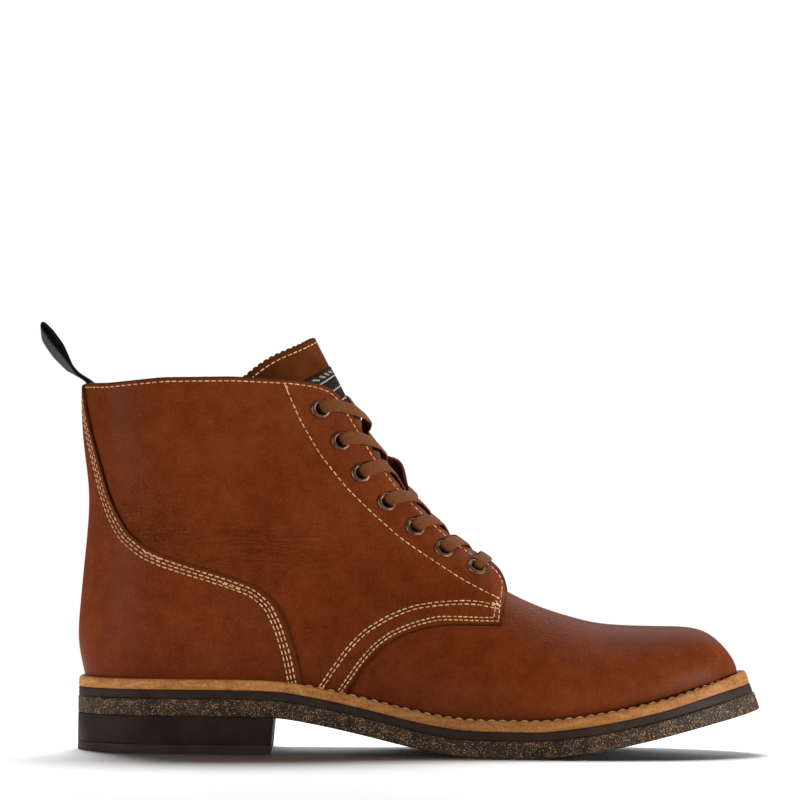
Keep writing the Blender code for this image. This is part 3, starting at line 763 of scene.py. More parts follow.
tread = soft_curve(TREAD, "z", 4.0)
sole_half = soft_curve(PLAN, "half_width", 8.0)
sole_centre = soft_curve(PLAN, "centre", 8.0)
ridge_centre = soft_curve(PLAN, "ridge_centre", 8.0)
crown_at = soft_curve(PLAN, "crown", 8.0)
back_line = soft_curve(BACK, "x", 5.0)
quarter_ridge = soft_curve(QUARTER_RIDGE, "z", 2.0)
vamp_height = soft_curve(VAMP_HEIGHT, "z", 4.0)
print("curves read from", len(PLAN["x"]), "stations of the plan")

# %% [markdown]
# A sculpted mesh could be the last as well, but a formula can be asked for a point or an outward
# direction anywhere. Panels, stitches, eyelets and lace all ask the same few functions, so they lie on
# each other without fitting.


# %% The last's surfaces
def closing(u, squareness):
    """How far a rounded end has opened: (1 - (1 - u)^n)^(1/n), from 0 at its tip to 1 at full width."""
    u = np.clip(u, 0.0, 1.0)
    return (1.0 - (1.0 - u) ** squareness) ** (1.0 / squareness)


def feather(x):
    """Height of the line where the upper meets the welt: the tread line and the layers over it."""
    return tread(x) + FEATHER


def centre(x, z):
    """Middle of the upper: over the sole's middle low down, under the ridge's middle high up."""
    rise = smooth((z - feather(x)) / CENTRE_RISE)
    return sole_centre(x) + (ridge_centre(x) - sole_centre(x)) * rise


def section(x, z, ridge, proud):
    """Half-width of a crosswise arch, with a low bulge over the welt: lift * e^(1 - lift)."""
    height = np.maximum(z - feather(x), 0.0)
    t = np.clip(height / np.maximum(ridge - feather(x), 0.01), 0.0, 1.0)
    lift = height / BULGE_HEIGHT
    full = sole_half(x) - LEDGE + proud + BULGE * lift * np.exp(1.0 - lift)
    return full * (1.0 - t ** crown_at(x)) ** (1.0 / crown_at(x))


def quarter_half(x, z):
    """Half-width of the quarters: the arch under a high ridge, closed round the heel from the back line."""
    wide = section(x, z, quarter_ridge(x), QUARTER)
    return wide * closing((x - back_line(z)) / LAST_HEEL_ROUND, LAST_HEEL_SQUARENESS)


def vamp_ridge(x):
    """Height of the vamp's ridge: the feather line and the vamp's own height, closed round the toe box."""
    return feather(x) + vamp_height(x) * closing((LAST_TOE - x) / TOE_BOX, TOE_BOX_SQUARENESS)


def vamp_half(x, z):
    """Half-width of the vamp: the arch under its own ridge, closed round the toe."""
    wide = section(x, z, vamp_ridge(x), 0.0)
    return wide * closing((LAST_TOE - x) / LAST_TOE_ROUND, TOE_SQUARENESS)


print("ridge over the toe box:", round(float(vamp_ridge(258.0)), 1), "mm")

# %% [markdown]
# Two more functions turn a place in the side view into a point in space. One gives the direction that
# looks straight out of the leather, the other moves a point that way. The direction could come from a
# mesh's normals, but those jump at every face; a formula's slope doesn't.


# %% Points and directions on the last
def outward(half, x, z, side):
    """Outward directions: the slope of (y - centre)^2 - half^2, by small differences."""
    step = 0.05
    y = side * half(x, z)
    run = (half(x + step, z) ** 2 - half(x - step, z) ** 2) / (2 * step)
    climb = (half(x, z + step) ** 2 - half(x, z - step) ** 2) / (2 * step)
    drift = (centre(x + step, z) - centre(x - step, z)) / (2 * step)
    sway = (centre(x, z + step) - centre(x, z - step)) / (2 * step)
    return unit(np.stack((-run - 2 * y * drift, 2 * y, -climb - 2 * y * sway), -1))


def on_last(half, x, z, side, offset=0.0):
    """Points of one side of the upper, moved outward by an offset."""
    at = np.stack((x, centre(x, z) + side * half(x, z), z), -1)
    return at + np.asarray(offset)[..., None] * outward(half, x, z, side)


print("ankle:", on_last(quarter_half, 60.0, 110.0, LATERAL).round(1), "mm")

# %% [markdown]
# ## Panels of the upper
# Each panel is cut to an outline in the side view. A four-sided patch fills the outline: it blends the
# two long edges and the two short ones, and takes away the corners that were counted twice. The patch is
# laid on the last, its free edges are rounded over, and a second skin inside gives the leather its
# thickness.

# %% Edges of the quarters
EDGE_TURN, PANEL_WALL = 0.9, 2.4
TAB_FRONT, TAB_DROP, EDGE_DROP, TAB_GAP = 193.9, 9.0, 9.0, 6.0
TOP_LINE = (
    (2.2, 164.3), (13.0, 164.4), (38.0, 167.2), (69.0, 167.9), (95.0, 166.9), (106.0, 165.6), (111.5, 163.9),
    (115.0, 162.0), (119.0, 157.7), (126.2, 145.7), (134.2, 132.6), (145.3, 118.6), (156.8, 107.4),
    (167.7, 97.3), (178.9, 90.0), (186.4, 85.8), (190.6, 82.0), (192.6, 77.4), (193.4, 73.0),
)
QUARTER_EDGE = (
    (121.6, 26.0), (122.4, 29.4), (127.5, 38.3), (135.3, 46.8), (145.0, 53.2), (156.0, 56.8), (167.0, 58.5),
    (180.0, 58.6), (190.4, 58.8),
)
top_edge = flowing(TOP_LINE, 2.0)
lower_edge = flowing(QUARTER_EDGE, 1.5)
seat_x = np.arange(back_line(30.0), QUARTER_EDGE[0][0], 1.0)
seat_edge = np.stack((seat_x, feather(seat_x) - 1.2), 1)
bottom_edge = np.concatenate((seat_edge, lower_edge))
front_edge = flowing((lower_edge[-1], (191.9, 66.0), top_edge[-1]), 1.0)
heel_z = np.linspace(seat_edge[0, 1], top_edge[0, 1], 200)
heel_edge = np.stack((back_line(heel_z) - 0.02, heel_z), 1)
edge_height = table("x z", (0.0, -300.0), (117.0, 10.0), *QUARTER_EDGE[1:-1], (191.0, 58.8), (310.0, 58.8))
quarter_edge = soft_curve(edge_height, "z", 1.0)
print("top edge", round(lengths(top_edge)[-1]), "mm long")

# %% [markdown]
# The quarters lie on the vamp along their front and lower edges, so their surface is brought down to it
# there. A flat cut-out could be projected onto the last instead, but its grid would run across the
# edges, and these are what is seen: here the grid follows them.


# %% Patches and rounded edges
def quarter_skin(x, z):
    """The quarters' half-width, brought down onto the vamp along their front and lower edges."""
    under = np.maximum(vamp_half(x, z) + QUARTER + 0.1, TAB_GAP)
    free = smooth((z - quarter_edge(x)) / EDGE_DROP) * smooth((TAB_FRONT - x) / TAB_DROP)
    return under + (quarter_half(x, z) - under) * free


def patch(bottom, top, left, right, u, v):
    """Side-view points of a four-sided patch: bottom-to-top blend plus left-to-right blend minus corners."""
    low, high, back, front = along(bottom, u), along(top, u), along(left, v), along(right, v)
    u, v = u[:, None, None], v[None, :, None]
    upright = (1 - v) * low[:, None] + v * high[:, None]
    level = (1 - u) * back[None] + u * front[None]
    corners = (1 - u) * ((1 - v) * low[0] + v * high[0]) + u * ((1 - v) * low[-1] + v * high[-1])
    return upright + level - corners


def turned(distance, radius):
    """Drop of a rounded edge: radius - sqrt(radius^2 - (radius - distance)^2), within a radius of its rim."""
    near = 1.0 - np.clip(distance / radius, 0.0, 1.0)
    return radius * (1.0 - np.sqrt(1.0 - near ** 2))


def run_from(points, axis, end):
    """Distance of every grid point from one end of its grid line."""
    steps = np.linalg.norm(np.diff(points, axis=axis), axis=-1)
    run = np.cumsum(steps, axis) if end == 0 else np.flip(np.cumsum(np.flip(steps, axis), axis), axis)
    pad = [(0, 0), (0, 0)]
    pad[axis] = (1, 0) if end == 0 else (0, 1)
    return np.pad(run, pad)


print("at its rim an edge drops", float(turned(0.0, EDGE_TURN)), "mm")

# %% [markdown]
# ### Eyelet places
# Seven eyelets a side sit along the facing. The leather is opened under each: points near an eyelet's
# axis are pushed outward to a ring, r' = sqrt(r0^2 + (1 - r0^2 / R^2) r^2), and the cells left in the
# middle are taken out. A boolean cut would work too, but it leaves long thin faces in the sheen.

# %% Eyelet places
EYELETS = table(
    "number x z ridge_x",
    (0, 108.7, 153.6, 121.6), (1, 117.8, 139.4, 130.5), (2, 126.9, 125.2, 138.5), (3, 138.6, 112.4, 148.5),
    (4, 151.3, 101.3, 159.5), (5, 164.3, 91.6, 170.5), (6, 179.1, 83.7, 183.5),
)
HOLE, HOLE_REACH, HOLE_CUT = 2.9, 4.6, 1.6
eyelet_at, eyelet_out = {}, {}
for side in (LATERAL, MEDIAL):
    eyelet_at[side] = on_last(quarter_skin, EYELETS["x"], EYELETS["z"], side)
    eyelet_out[side] = outward(quarter_skin, EYELETS["x"], EYELETS["z"], side)


def opened(points, side, base):
    """Grid points moved off the eyelets' axes, r' = sqrt(r0^2 + (1 - r0^2 / R^2) r^2), and the cells kept."""
    keep = np.ones((points.shape[0] - 1, points.shape[1] - 1), bool)
    moved = points.copy()
    middles = (base[:-1, :-1] + base[1:, :-1] + base[1:, 1:] + base[:-1, 1:]) / 4
    for at, out in zip(eyelet_at[side], eyelet_out[side]):
        away = base - at
        away = away - (away @ out)[..., None] * out
        r = np.linalg.norm(away, axis=-1)
        wide = np.sqrt(HOLE ** 2 + (1 - HOLE ** 2 / HOLE_REACH ** 2) * r ** 2)
        push = np.where(r < HOLE_REACH, wide - r, 0.0)
        moved = moved + unit(away) * push[..., None]
        keep &= np.linalg.norm(middles - at, axis=-1) > HOLE_CUT
    return moved, keep


print("eyelets a side:", len(EYELETS["x"]))

# %% [markdown]
# ### Creases, wear and painted shade
# Worn boots fold at the ankle. Each crease here is a given line, with a trough along it and a
# low ridge beside it; cloth simulation could fold the leather too, but not in the places where this boot
# is folded. The inner facing is curled up off the tongue, and painted shade, with a little burnish,
# darkens the leather above the welt.

# %% Creases, curl and painted welt shade
CREASES = table(
    "x0 z0 x1 z1 depth width",
    (28.0, 112.0, 66.0, 104.0, 0.35, 2.6), (52.0, 118.0, 104.0, 110.0, 0.4, 3.0),
    (40.0, 101.0, 92.0, 97.0, 0.35, 2.4), (78.0, 99.0, 118.0, 90.0, 0.4, 2.8),
    (60.0, 93.0, 100.0, 84.0, 0.3, 2.2), (96.0, 120.0, 122.0, 104.0, 0.3, 2.6),
    (34.0, 126.0, 60.0, 121.0, 0.25, 2.4), (108.0, 84.0, 138.0, 78.0, 0.25, 2.4),
    (22.0, 134.0, 44.0, 138.0, 0.2, 2.6),
)


def creased(x, z):
    """Heights over and under the leather along listed, slightly bowed lines: a low bell beside the line
    less a full bell on it, times the depth, fading towards the line's ends."""
    total = np.zeros_like(x)
    for x0, z0, x1, z1, depth, width in zip(*CREASES.values()):
        long = math.hypot(x1 - x0, z1 - z0)
        run = ((x - x0) * (x1 - x0) + (z - z0) * (z1 - z0)) / long ** 2
        bow = 2.5 * np.sin(np.clip(run, 0, 1) * np.pi) + 0.8 * np.sin(run * 9.0 + x0)
        off = (-(x - x0) * (z1 - z0) + (z - z0) * (x1 - x0)) / long - bow
        fade = np.sin(np.clip(run, 0, 1) * np.pi) ** 0.7
        fold = 0.6 * np.exp(-((off - width) / width) ** 2) - np.exp(-(off / width) ** 2)
        total = total + depth * fade * fold
    return total


CURL, CURL_X, CURL_STEEP, CURL_LENGTH, CURL_REACH = 7.8, 138.9, 4.5, 7.4, 11.0


def curl(x, from_edge):
    """How far the inner facing is bent up off the throat: a bell along the edge, steeper on its upper side,
    that dies out away from the edge."""
    reach = np.where(x < CURL_X, CURL_STEEP, CURL_LENGTH)
    return CURL * np.exp(-((x - CURL_X) / reach) ** 2) * smooth(1.0 - from_edge / CURL_REACH)


SHADE_BURNISH_LINE, SHADE_BURNISH_LINE_HIGH, SHADE_BURNISH_BROAD, SHADE_BURNISH_BROAD_HIGH = 0.45, 2.5, 0.1, 18.0


def welt_shade_and_burnish(x, z):
    """Painted shade, partly burnish, above the welt, e^(-height / reach): a narrow line in the crease, a
    faint one over it.
    """
    height = np.maximum(z - feather(x), 0.0)
    return SHADE_BURNISH_LINE * np.exp(-height / SHADE_BURNISH_LINE_HIGH) + SHADE_BURNISH_BROAD * np.exp(-height / SHADE_BURNISH_BROAD_HIGH)


def bell(x, z, x0, z0, wide, tall):
    """A smooth hill over the side view, 1 at its middle and fading over its width and height."""
    return np.exp(-((x - x0) / wide) ** 2 - ((z - z0) / tall) ** 2)


print("creases:", len(CREASES["depth"]), "and a curl of", CURL, "mm")

# %% [markdown]
# ### Quarters
# The two quarters are the boot's sides, from the back seam to the tabs over the vamp. One patch in the
# side view serves both: it is laid on each side of the last, creased, rounded at its free edges and
# opened for the eyelets. A mirror modifier would make the second side as well, but the boot is fuller on
# one side than on the other.

# %% Quarters
COLUMNS, ROWS, FACING_LINED, LINING_TONE = 200, 110, 13.0, 0.2
FAR, CREASE_START = 99.0, 8.0
EDGE_TONE, EDGE_TONE_REACH, TAB_TONE, TAB_TONE_REACH = 0.75, 0.7, 0.7, 1.7
PEBBLES = ((0.5, 36.0, 104.0, 20.0, 17.0), (0.7, 36.0, 95.0, 17.0, 7.0))
FOLDS = (84.0, 91.0, 36.0, 14.0)
u, v = spaced(COLUMNS), spaced(ROWS)
quarter_xz = patch(bottom_edge, top_edge, heel_edge, front_edge, u, v)
seat_share = lengths(seat_edge)[-1] / lengths(bottom_edge)[-1]
for side, word in SIDES:
    x, z = quarter_xz[..., 0], quarter_xz[..., 1]
    base = on_last(quarter_skin, x, z, side)
    out = outward(quarter_skin, x, z, side)
    below = run_from(base, 1, 0) + FAR * (u < seat_share)[:, None]
    from_top = run_from(base, 1, 1)
    from_front = run_from(base, 0, 1)
    free = np.minimum(np.minimum(from_top, from_front), below)
    drop = turned(free, EDGE_TURN)
    lift = curl(x, from_top) * (side == MEDIAL)
    outer = base + (lift + creased(x, z) * smooth(free / CREASE_START) - drop)[..., None] * out
    inner = base + (lift - PANEL_WALL + drop)[..., None] * out
    outer, keep = opened(outer, side, base)
    inner, keep = opened(inner, side, base)
    tone = EDGE_TONE * np.exp(-(free / EDGE_TONE_REACH) ** 2) * (1.0 - lift / CURL)
    tab_top = run_from(quarter_xz, 1, 1) + 9.0 * smooth((180.0 - x) / 14.0)
    tab_rim = np.minimum(run_from(quarter_xz, 0, 1), tab_top)
    tab_tone = TAB_TONE * np.exp(-(tab_rim / TAB_TONE_REACH) ** 4)
    tone = np.maximum(tone, tab_tone) + welt_shade_and_burnish(x, z)
    points, faces, kind = panel(outer, inner, keep)
    # the inner skin near the top edge takes the dark facing finish: partly its own flesh side, partly painted
    # shade
    facing = skins(from_top, from_top).ravel()[faces].min(1) < FACING_LINED
    kind = np.where((kind == 1) & facing, 3, kind)
    pebbled = sum(share * bell(x, z, *hill) for share, *hill in PEBBLES)
    make(f"quarter_{word}", points, faces, (brown_leather, lining_leather, brown_leather, facing_flesh_and_shade),
         "upper_leather", ("upper",) if side == LATERAL else (), kind,
         tone=skins(np.clip(tone, 0, 1), LINING_TONE), bend=skins(pebbled), fold=skins(bell(x, z, *FOLDS)))

# %% [markdown]
# ### Vamp
# The vamp is one skin from the outer feather line, over the ridge, to the inner one. Its grid lines run
# to the toe and meet in a point there, low down at the welt, where the pole is hidden. Two halves joined
# along the ridge would be simpler, but the join would show in the sheen on the toe.

# %% Vamp
VAMP_WALL, VAMP_COLUMNS, VAMP_ROWS, VAMP_REAR, VAMP_REACH = 1.8, 170, 150, 112.0, 62.0
FLEX, FLEX_X, FLEX_WIDE = 0.2, 208.0, 16.0
w = np.linspace(-1.0, 1.0, VAMP_ROWS + 1)[None, :]
t = np.cos(np.abs(w) * np.pi / 2)
s = np.sin(np.linspace(0.0, np.pi / 2, VAMP_COLUMNS + 1))[:, None]
rear = VAMP_REAR + VAMP_REACH * t ** 1.5
x = rear + (LAST_TOE - rear) * s
z = feather(x) - (1 - t) * (1 - s ** 8) + (vamp_ridge(x) - feather(x)) * t
side = np.where(w < 0, LATERAL, MEDIAL) + 0.0 * x
base = on_last(vamp_half, x, z, side)
out = outward(vamp_half, x, z, side)
out[-1] = (1.0, 0.0, 0.0)
tone = welt_shade_and_burnish(x, z)
bend = FLEX * np.exp(-((x - FLEX_X) / FLEX_WIDE) ** 2) * smooth((t - 0.45) / 0.45)
points, faces, kind = panel(base, base - VAMP_WALL * out)
make("vamp", points, faces, (brown_leather, lining_leather, brown_leather), "upper_leather", (), kind,
     tone=skins(np.clip(tone, 0, 1), LINING_TONE), bend=skins(bend))

# %% [markdown]
# ### Heel counter
# A second layer wraps the heel. Its edge sweeps from the top of the back seam, down beside it and
# forward to the welt. It could be the quarter's own mesh with a step in it; as a piece of its own that
# follows the quarters at a small distance, it keeps a clean rounded rim and a darker cut edge. The dark
# band at the cut edge is partly its own colour and partly painted shade, darkest where the edge stands
# upright and paler where it lies level.

# %% Heel counter
COUNTER, COUNTER_TURN, COUNTER_SUNK, CUT_EDGE_AND_SHADE, CUT_EDGE_AND_SHADE_REACH = 1.5, 1.45, 0.2, 0.9, 1.9
COUNTER_EDGE = ((2.2, 163.8), (3.0, 162.6), (3.7, 156.0), (6.2, 145.2), (10.7, 129.6), (14.6, 116.4),
                (18.5, 107.2), (23.8, 98.2), (32.4, 91.2), (42.0, 87.2), (69.3, 78.9), (80.8, 74.8),
                (89.2, 68.6), (94.7, 57.6), (99.0, 44.3), (102.0, 30.5))
counter_edge = flowing(COUNTER_EDGE, 2.0)
counter_x = np.linspace(back_line(30.0), COUNTER_EDGE[-1][0], 120)
counter_seat = np.stack((counter_x, feather(counter_x) - 1.0), 1)
counter_back = heel_edge[heel_edge[:, 1] < COUNTER_EDGE[0][1]]
corner = np.repeat(counter_seat[-1:], 2, 0) + ((0.0, 0.0), (0.0, 0.01))
counter_top = np.concatenate((counter_back[-1:], counter_edge, counter_seat[-1:]))
counter_xz = patch(counter_seat, counter_top, counter_back, corner, spaced(120), spaced(80))
for side, word in SIDES:
    x, z = counter_xz[..., 0], counter_xz[..., 1]
    base = on_last(quarter_half, x, z, side)
    out = outward(quarter_half, x, z, side)
    free = run_from(base, 1, 1)
    outer = base + (COUNTER - turned(free, COUNTER_TURN))[..., None] * out
    inner = base - COUNTER_SUNK * out
    # painted shade beside the cut edge: full where the edge stands upright, less along its level stretch and
    # near the top
    level = 0.6 * smooth((x - 24.0) / 12.0) * smooth((90.0 - x) / 10.0)
    upright = 1.0 - level - 0.3 * smooth((z - 135.0) / 15.0)
    tone = CUT_EDGE_AND_SHADE * upright * np.exp(-(free / CUT_EDGE_AND_SHADE_REACH) ** 3) + welt_shade_and_burnish(x, z)
    points, faces, kind = panel(outer, inner)
    make(f"counter_{word}", points, faces, (heel_leather,), "counter_leather",
         ("counter",) if side == LATERAL else (), 0 * kind,
         tone=skins(np.clip(tone, 0, 1), CUT_EDGE_AND_SHADE * upright))

# %% [markdown]
# ### Tongue
# The tongue lies under the facings and stands up past the collar. Its top edge is pinked: small round
# scallops, made by moving the last rows of the sheet along it by a row of arches. A cutter could take
# them out of a plain sheet, but moved rows keep the sheet closed and its faces even.

# %% Tongue
TONGUE_LAY = table(
    "along ridge_x edge_x edge_z crest sunk",
    (0.0, 189.5, 179.0, 75.0, 9.4, 9.4), (0.12, 178.0, 164.0, 78.5, 4.6, 4.9),
    (0.25, 166.0, 151.0, 84.0, 3.8, 4.1), (0.38, 155.5, 139.0, 90.5, 3.2, 4.1),
    (0.5, 145.3, 127.0, 100.0, 3.2, 4.1), (0.64, 134.4, 113.6, 115.5, 3.0, 4.0),
    (0.75, 126.2, 103.0, 131.0, 3.0, 3.95), (1.0, 107.3, 74.0, 166.9, 2.4, 3.6),
)
TONGUE, TONGUE_SHOULDER, TONGUE_SWELL, TONGUE_WAVE, TONGUE_WAY = 2.0, 0.3, 2.3, 2.5, (-0.57, 0.82)
PINKED, SCALLOP, SCALLOP_PITCH, SCALLOP_ROUND = 0.97, 0.95, 3.0, 0.7
NOTCH, NOTCH_HALF, RUBBED, RUBBED_REACH = 0.9, 0.1, 0.4, 0.01


def tongue_place(rise, across):
    """Side-view place and depth of a tongue point: rise runs up it, across from -1 at one edge to 1.
    The tongue swells up in the throat, so its depth goes from crest in the middle to sunk under the facings.
    Its top edge is bowed: beside the middle it stands higher, by a sine squared across the sheet."""
    row = {name: through(TONGUE_LAY["along"], TONGUE_LAY[name], rise) for name in TONGUE_LAY}
    part = across ** 2
    ridge_z = quarter_ridge(row["ridge_x"])
    swell = TONGUE_SWELL * np.sin(TONGUE_WAVE * part) ** 2 * smooth((rise - 0.7) / 0.3)
    x = row["ridge_x"] + (row["edge_x"] - row["ridge_x"]) * part + swell * TONGUE_WAY[0]
    z = ridge_z + (row["edge_z"] - ridge_z) * part + swell * TONGUE_WAY[1]
    return x, z, -(row["crest"] + (row["sunk"] - row["crest"]) * smooth(np.abs(across) / TONGUE_SHOULDER))


def on_tongue(rise, across, offset):
    """Points at a distance from the tongue's face, and the face's outward directions."""
    x, z, depth = tongue_place(rise, across)
    side = np.where(across < 0, LATERAL, MEDIAL) + 0.0 * x
    return on_last(quarter_half, x, z, side, depth + offset), outward(quarter_half, x, z, side)


rise = np.concatenate((np.linspace(0.0, 0.965, 60), np.linspace(PINKED, 1.0, 12)))[:, None]
across = np.linspace(-1.0, 1.0, 461)[None, :]
sheets = []
for layer in (0.0, -TONGUE):
    sheet = on_tongue(rise, across, layer)[0]
    up = unit(sheet[-1] - sheet[-4])
    arches = np.abs(np.sin(np.pi * lengths(sheet[-1]) / SCALLOP_PITCH)) ** SCALLOP_ROUND - 1.0
    arches = SCALLOP * arches - NOTCH * np.exp(-(across / NOTCH_HALF) ** 2)
    sheets.append(sheet + (smooth((rise - PINKED) / (1.0 - PINKED)) * arches)[..., None] * up)
points, faces, kind = panel(*sheets)
rubbed = RUBBED * np.exp(-(1.0 - rise + 0.0 * across) / RUBBED_REACH)
make("tongue", points, faces, (tongue_suede,), "tongue_suede", ("tongue",), 0 * kind,
     tone=skins(rubbed, rubbed))

# %% [markdown]
# ### Label
# A small woven label is sewn on the front of the tongue: a dark ground with a few light cross lines and
# a row of slanted dashes. The lines could be separate threads, but they are woven flat, so the mesh only
# carries where they run. The label is a thin closed sheet that lies on the tongue's own face.

# %% Label
LABEL_LOW, LABEL_HIGH, LABEL_HALF, LABEL, LABEL_SUNK, LABEL_LIGHT = 0.76, 0.905, 0.6, 0.5, 0.2, 0.8
LABEL_LINES, LINE_HALF = (0.8, 0.56, 0.32, 0.1), 0.013
HATCH, HATCH_HALF, HATCH_TURN, HATCH_SLANT, HATCH_CUT = 0.9, 0.04, 55.0, 60.0, 0.5
climb = np.linspace(0.0, 1.0, 121)[:, None]
across = np.linspace(-LABEL_HALF, LABEL_HALF, 61)[None, :]
rise = LABEL_LOW + (LABEL_HIGH - LABEL_LOW) * climb
points, faces, kind = panel(on_tongue(rise, across, LABEL)[0], on_tongue(rise, across, -LABEL_SUNK)[0])
lined = np.min([np.abs(climb - line) for line in LABEL_LINES], 0) < LINE_HALF
dashes = np.sin(across * HATCH_TURN + climb * HATCH_SLANT) > HATCH_CUT
hatched = (np.abs(climb - HATCH) < HATCH_HALF) & dashes
shade = np.where(lined | hatched, LABEL_LIGHT, 0.0)
make("label", points, faces, (label_weave,), "loop_webbing", (), 0 * kind, tone=skins(shade, shade))

# %% [markdown]
# ## Seams
# The seams are what the eye follows on this boot. Each stitch is its own short bead of thread, a rounded
# rod whose ends dip into the leather. Painted dashes would be lighter, but they would catch no light and
# throw no shadow.


# %% Rows of stitches
def beside(path, distance):
    """A side-view path moved sideways: to the right of its direction for a positive distance."""
    way = unit(np.gradient(path, axis=0))
    return path + distance * np.stack((way[:, 1], -way[:, 0]), 1)


INSET_STEPS, PROBE = 24, 0.02


def inside(half, path, distance):
    """A side-view path moved to its right by a distance measured on the leather: small steps, each shortened
    by the leather's slope, 1 / sqrt(1 + slope^2), where it turns away from the side view."""
    way = unit(np.gradient(path, axis=0))
    aside = np.stack((way[:, 1], -way[:, 0]), 1)
    moved = path.copy()
    for step in range(INSET_STEPS):
        ahead = moved + PROBE * aside
        slope = (half(ahead[:, 0], ahead[:, 1]) - half(moved[:, 0], moved[:, 1])) / PROBE
        moved = moved + aside * (distance / INSET_STEPS / np.sqrt(1.0 + slope ** 2))[:, None]
    return moved


def ends_of(at, out, pitch, filled):
    """Even spans cut from a path, each filling a share of its pitch: starts, ends and outward directions."""
    run = lengths(at)
    count = max(int(round(run[-1] / pitch)), 1)
    middle = (np.arange(count) + 0.5) * run[-1] / count
    reach = filled * run[-1] / count / 2
    return picked(middle - reach, run, at), picked(middle + reach, run, at), unit(picked(middle, run, out))


def stitch_row(half, path, side, height, pitch, filled):
    """Ends of the stitches of one row and the leather's direction at their middles."""
    x, z = path.T
    return ends_of(on_last(half, x, z, side, height), outward(half, x, z, side), pitch, filled)


print("a row 2 mm inside the top edge starts at", beside(top_edge, 2.0)[0].round(1))

# %% [markdown]
# A stitch is a rod of seven rings with six points each, thickest in the middle and closed to a point at its
# ends. A sphere drawn out long would do, but it would be too fat in the middle and take far more faces.

# %% Rods
ROD, ROD_SIDES, ROD_LIFT = np.array((-1.0, -0.93, -0.7, 0.0, 0.7, 0.93, 1.0)), 6, 0.35


def stitches(name, rows, finish, slot, thick, dip):
    """Rods between the ends: radius thick * (1 - s^6)^(1/2), arched so that the ends dip below the middle."""
    start, end, out = (np.concatenate(parts)[:, None, None] for parts in zip(*rows))
    broad = unit(np.cross(unit(end - start), out))
    s = ROD[:, None, None]
    turn = np.arange(ROD_SIDES)[None, :, None] * 2 * np.pi / ROD_SIDES
    radius = thick * np.sqrt(1.0 - s ** 6)
    rise = np.sin(turn) * radius + thick * ROD_LIFT - dip * s ** 2
    rods = (start + end) / 2 + (end - start) / 2 * s + broad * np.cos(turn) * radius + out * rise
    each = wall_faces(len(ROD), ROD_SIDES)
    first = np.arange(len(rods)) * len(ROD) * ROD_SIDES
    make(name, rods, (each[None] + first[:, None, None]).reshape(-1, 4), (finish,), slot, sharp=180.0)
    return len(rods)


print("faces of a stitch:", len(wall_faces(len(ROD), ROD_SIDES)))

# %% [markdown]
# The rows are drawn in the side view, beside the edges or through measured points, and laid on the same
# surface as the panel they hold. A row could be offset from its panel's rim in space, but the sewing
# drifts from the rim, so the main seams are measured. Short tacks lie where two rows meet and the thread
# is run back.

# %% Seams of the upper
PITCH, LONG_PITCH, FINE_PITCH, DASH, THREAD, THREAD_DIP = 2.9, 3.2, 2.35, 0.776, 0.29, 0.28
FACING_SEAM = flowing((
    (92.2, 165.1), (99.5, 148.6), (108.7, 133.2), (120.7, 118.4), (132.0, 107.6), (145.3, 96.0),
    (158.9, 87.0), (172.1, 78.6), (181.2, 73.9), (189.4, 69.9)), 3.0)
UPPER_SEAM = flowing((
    (107.6, 27.5), (114.3, 37.8), (121.2, 47.6), (128.9, 55.6), (140.0, 62.4), (151.1, 66.8),
    (162.1, 68.5), (173.4, 69.2), (180.4, 68.9), (186.4, 67.5), (189.5, 66.9)), 2.5)
LOWER_SEAM = flowing((
    (118.9, 27.5), (124.2, 35.5), (128.8, 42.0), (134.6, 48.6), (141.8, 53.8), (150.5, 57.5),
    (158.6, 59.9), (163.3, 60.7), (172.6, 60.5), (182.9, 60.2), (189.3, 60.2)), 2.0)
TAB_ROWS = (
    ((188.8, 60.6), (189.1, 65.4), (189.6, 69.6)),
    ((186.7, 61.6), (187.1, 66.2)),
    ((190.5, 75.6), (190.3, 73.0), (189.9, 70.3)),
)
TACKS = (
    ((187.2, 69.4), (188.3, 67.8)), ((185.2, 68.3), (187.2, 67.9)), ((187.0, 67.9), (189.0, 67.6)),
    ((185.3, 67.6), (186.7, 66.5)), ((187.5, 66.9), (186.9, 65.2)), ((187.0, 71.0), (188.9, 69.9)),
    ((92.5, 164.4), (93.6, 161.9)), ((93.0, 164.6), (94.1, 162.1)), ((93.2, 162.6), (94.2, 160.4)),
)
edge_row = beside(top_edge, 2.0)
edge_row = edge_row[lengths(edge_row) < lengths(edge_row)[-1] - 3.0]
lower_pair = beside(LOWER_SEAM, -1.5)[LOWER_SEAM[:, 0] < 187.0]
short_rows = [flowing(row, 0.6) for row in TAB_ROWS] + [flowing(row, 0.2) for row in TACKS]
quarter_rows = [(path, PITCH) for path in [edge_row, UPPER_SEAM, beside(UPPER_SEAM, 1.5)] + short_rows]
quarter_rows += [(FACING_SEAM, LONG_PITCH), (LOWER_SEAM, FINE_PITCH), (lower_pair, FINE_PITCH)]
counter_path = counter_edge[(counter_edge[:, 1] < 158.0) & (counter_edge[:, 1] > 31.5)]
widen = 0.6 * smooth((counter_path[:, 0] - 78.0) / 12.0)
counter_rows = [inside(quarter_half, counter_path, inset + widen)[start:]
                for inset, start in ((2.0, 0), (3.55, 6), (5.1, 3))]
counter_laps = [beside(counter_path, inset)[(counter_path[:, 0] > low) & (counter_path[:, 0] < high)]
                for inset, low, high in ((2.4, 32.0, 40.0), (4.1, 66.5, 75.5))]
print("rows a side:", len(quarter_rows) + len(counter_rows) + len(counter_laps))

# %% [markdown]
# Both sides get the same rows. All the rods on a panel are one object: a thousand small objects would be
# slow to handle, and they are never moved alone.

